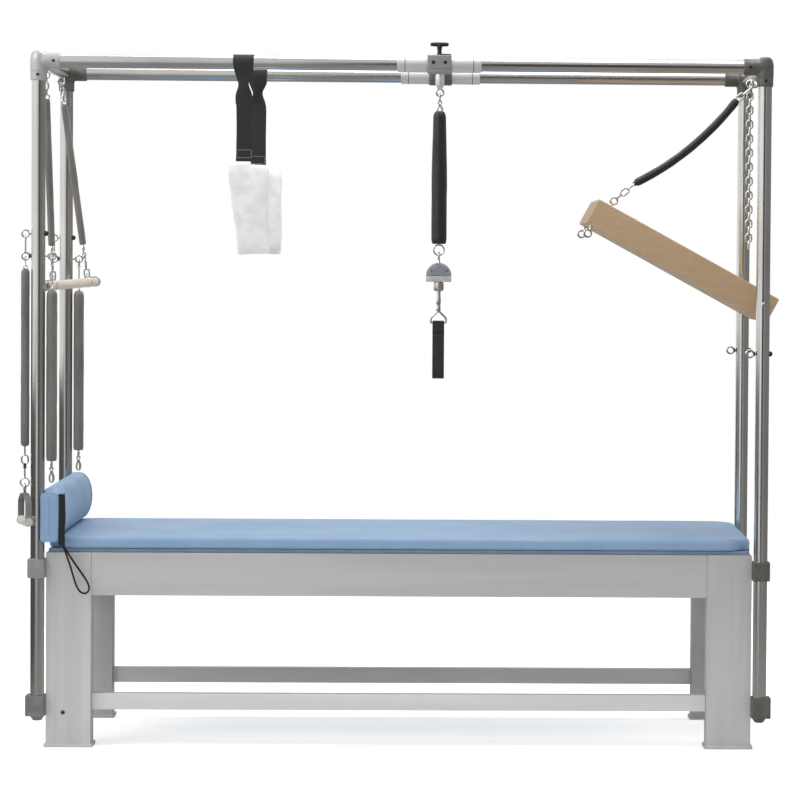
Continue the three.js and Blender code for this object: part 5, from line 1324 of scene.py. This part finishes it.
def bolster_outline(count):
    """The bolster's section: a flat left face with small round corners and a half-round right face."""
    w, h, flat, c = 68.0, 148.0, 30.6, 9.0
    a = np.linspace(-math.pi / 2, math.pi / 2, 60)
    right = np.stack([flat + (w - flat) * np.cos(a), h / 2 * (1 + np.sin(a))], 1)
    b = np.linspace(math.pi / 2, math.pi, 14)
    up = np.stack([c + c * np.cos(b), h - c + c * np.sin(b)], 1)
    d = np.linspace(math.pi, 1.5 * math.pi, 14)
    low = np.stack([c + c * np.cos(d), c + c * np.sin(d)], 1)
    p = np.concatenate([right, up, low])
    arc = np.append(0, np.linalg.norm(np.diff(np.concatenate([p, p[:1]]), axis=0), axis=1).cumsum())
    return resampled(p, count, arc)


def droop(points, face):
    """The near end hangs over the pad's edge: it sinks by up to 14 mm and swells left past the upright."""
    y = points[:, 1]
    past = smoothstep((-BASE_Y - 1 - y) / 24)
    before = smoothstep((-BASE_Y - 21.6 - y) / 4)
    left = smoothstep((40 - (points[:, 0] - face)) / 40)
    return points + np.column_stack([-9.0 * before * left, np.zeros(len(y)), -14.0 * past])


def make_bolster():
    """The bolster, a stack of its outline along Y that is drawn in at the ends, with piped end seams."""
    x0, y0, z0, length = -HALF_X + TUBE + GAP, -BASE_Y - 31, PAD_TOP + GAP, 665.5
    outline = bolster_outline(120)
    middle = np.array([32.0, 74.0])

    def section(y, share):
        """The outline at a distance from the near end, drawn in to a share about its middle."""
        p = middle + (outline - middle) * share
        return droop(np.column_stack([p[:, 0] + x0, np.full(len(p), y0 + y), p[:, 1] + z0]), x0)

    ends = [(0.0, 0.86), (0.7, 0.92), (2.2, 0.96), (4.6, 0.988), (8.0, 1.0)]
    body = [(y, 1.0) for y in np.concatenate([np.linspace(11, 40, 14), np.linspace(44, length - 14, 56)])]
    rows = ends + body + [(length - y, share) for y, share in ends[::-1]]
    s = grid(np.array([section(y, share) for y, share in rows]))
    v = s["v"]
    out = np.column_stack([v[:, 0] - x0 - 32, np.zeros(len(v)), (v[:, 2] - z0 - 74) * 0.5])
    waves = 0.9 * noise(v * (1, 0.5, 1), 90, 2)
    keep = smoothstep((v[:, 2] - z0 - 4) / 30)
    s["v"] = v + unit_rows(out) * ((waves - 0.9) * keep)[:, None]
    parts = [s]
    for y in (4.4, length - 4.4):
        parts.append(sweep(section(y, 0.992), disc(1.6, 8), up=Y, ring=True, mat=0))
    # The groove is a dark strip of the darker vinyl: painted shade.
    groove = np.array([(x0 + 18, y0 - 0.1, z0 + z - 14) for z in np.linspace(12, 136, 20)])
    parts.append(sweep(groove, slab(1.6, 0.8), up=Y, mat=1))
    obj = piece("bolster_cushion", parts, [VINYL, VINYL_PAINTED_SHADE], "bolster", ["bolster"], 60)
    make_ribbon(np.array([x0 + 56, y0 - GAP - 1.6, z0]))


def make_ribbon(c):
    """The ribbon down the bolster's near end, its link and clasp, and the thin loop that hangs from it."""
    top, foot, lean = 130, -26, 0.455
    t = np.linspace(0, 1, 40)
    band = np.column_stack([0.6 * np.sin(6 * t), np.zeros(40), top - (top - foot) * t]) + c
    parts = [sweep_band(band, X, 20, 3.0, 0, False)]
    right = [(0.8, 2), (2.5, -30), (7.5, -72), (14.0, -112), (17.2, -138), (15.5, -156), (8.5, -167),
             (0, -170.5)]
    right = spline(right, 60)
    drop = np.concatenate([right, (right * (-1, 1))[::-1][1:]])
    x = drop[:, 0] * math.cos(lean) - drop[:, 1] * math.sin(lean)
    z = drop[:, 0] * math.sin(lean) + drop[:, 1] * math.cos(lean)
    path = np.column_stack([x, np.zeros(len(x)), z + 10.5 + foot]) + c
    parts.append(sweep_band(path, Y, 3.0, 5.6, 0, False))
    parts += [loop(c + (0, -0.2, 134), X, Z, 9, 5, 1.4, 1), box(c + (-8, -2.2, 127), c + (8, 1.2, 132), 1.0)]
    piece("bolster_ribbon", parts, [WEBBING_THIN, CHROME], "bolster", ["bolster_strap"])


# ---- light and floor

def area(name, place, target, size, power):
    """A soft box lamp that faces a target."""
    light = bpy.data.lights.new(name, "AREA")
    light.shape, light.size, light.size_y = "RECTANGLE", size[0], size[1]
    light.energy = power
    lamp = add_object(name, light)
    lamp.location = place
    lamp.rotation_euler = (Vector(target) - Vector(place)).to_track_quat("-Z", "Y").to_euler()
    return lamp


def make_world():
    """Even studio light; the camera sees white, and metal sees pale walls with a dark ground below."""
    world = bpy.data.worlds.new("studio")
    bpy.context.scene.world = world
    world.use_nodes = True
    tree = world.node_tree
    back = tree.nodes["Background"]
    coords = node(tree, "TexCoord")
    axis = node(tree, "SeparateXYZ", {0: coords.outputs["Generated"]})
    white, ambient = (1, 1, 1, 1), (0.52, 0.52, 0.52, 1)

    def eased(direction, low, high, at_low, at_high):
        """A brightness that changes smoothly along one axis of the view."""
        return node(tree, "MapRange", {"Value": axis.outputs[direction], "From Min": low, "From Max": high,
                                       "To Min": at_low, "To Max": at_high}, interpolation_type="SMOOTHSTEP")

    wall = eased("X", 0.6, -0.6, 0.26, 1.15)
    high = eased("Z", -0.30, 0.05, 0.55, 1.0)
    gloss = node(tree, "Math", {0: wall, 1: high}, operation="MULTIPLY")
    path = node(tree, "LightPath")
    seen = node(tree, "MixRGB", {"Fac": path.outputs["Is Glossy Ray"], "Color1": ambient, "Color2": gloss})
    for kind in ("Camera", "Transmission"):
        seen = node(tree, "MixRGB", {"Fac": path.outputs[f"Is {kind} Ray"], "Color1": seen, "Color2": white})
    feed(tree, back, {"Color": seen, "Strength": 1.0})


def studio_mesh(name, corners, faces):
    """A mesh of the studio with an empty material: its object, its node tree and its surface socket."""
    mesh = bpy.data.meshes.new(name)
    mesh.from_pydata(corners, [], faces)
    m = bpy.data.materials.new(name)
    m.use_nodes = True
    tree = m.node_tree
    tree.nodes.remove(tree.nodes["Principled BSDF"])
    mesh.materials.append(m)
    obj = add_object(name, mesh)
    return obj, tree, tree.nodes["Material Output"].inputs["Surface"]


def make_card(name, a, b, z0, z1, shade):
    """An upright card between two places on the floor that only shiny surfaces reflect."""
    card, tree, shown = studio_mesh(name, [(*a, z0), (*b, z0), (*b, z1), (*a, z1)], [(0, 1, 2, 3)])
    glow = node(tree, "Emission", {"Color": (shade, shade, shade, 1), "Strength": 1.0})
    tree.links.new(glow.outputs[0], shown)
    card.visible_camera = card.visible_diffuse = card.visible_transmission = False
    card.visible_volume_scatter = card.visible_shadow = False


def make_floor():
    """A pale floor, brought to white for the camera, that still takes the table's shadow."""
    n, half, below = 24, 4.5, 0.0005
    edge = np.linspace(-half, half, n)
    corners = [(float(x), float(y), -below) for x in edge for y in edge]
    faces = [(i * n + j, (i + 1) * n + j, (i + 1) * n + j + 1, i * n + j + 1)
             for i in range(n - 1) for j in range(n - 1)]
    _, tree, shown = studio_mesh("floor", corners, faces)
    diffuse = node(tree, "BsdfDiffuse", {"Color": (0.90, 0.90, 0.90, 1)})
    path = node(tree, "LightPath")
    amount = node(tree, "Math", {0: path.outputs["Is Camera Ray"], 1: 0.50}, operation="MULTIPLY")
    glow = node(tree, "Emission", {"Strength": amount})
    both = node(tree, "AddShader", {0: diffuse, 1: glow})
    dark = node(tree, "Emission", {"Color": (0.34, 0.34, 0.34, 1), "Strength": 1.0})
    looked = node(tree, "MixShader", {0: path.outputs["Is Glossy Ray"], 1: both, 2: dark})
    tree.links.new(looked.outputs[0], shown)


make_tubes()
make_corners()
make_anchors()
make_base()
make_trolley()
make_sling()
for _side, _sy in SIDES:
    make_loop_strap(_side, _sy)
    make_cuff(_side, _sy)
make_rolldown()
make_side_springs()
make_handle()
make_board()
make_chain()
make_pad()
make_bolster()
make_world()
make_floor()
make_card("dark_card", (-0.4, -4.5), (1.7, -4.5), 0.05, 3.4, 0.06)
make_card("low_card", (-2.3, -3.2), (-2.3, 3.0), 0.0, 1.05, 0.10)
area("key", (-3.9, -2.5, 4.4), (0, 0, 0.9), (3.0, 3.0), 115)
area("top", (0.4, 0.3, 4.8), (0, 0, 0.6), (4.0, 2.4), 125)
area("fill", (4.4, -0.6, 3.4), (0, 0, 0.9), (3.0, 3.0), 44).visible_glossy = False
low = area("low", (-0.3, -0.80, 0.07), (-0.3, 0.4, 0.07), (2.8, 0.12), 2.4)
low.visible_camera = low.visible_glossy = False

bpy.context.scene.view_settings.view_transform = "Standard"
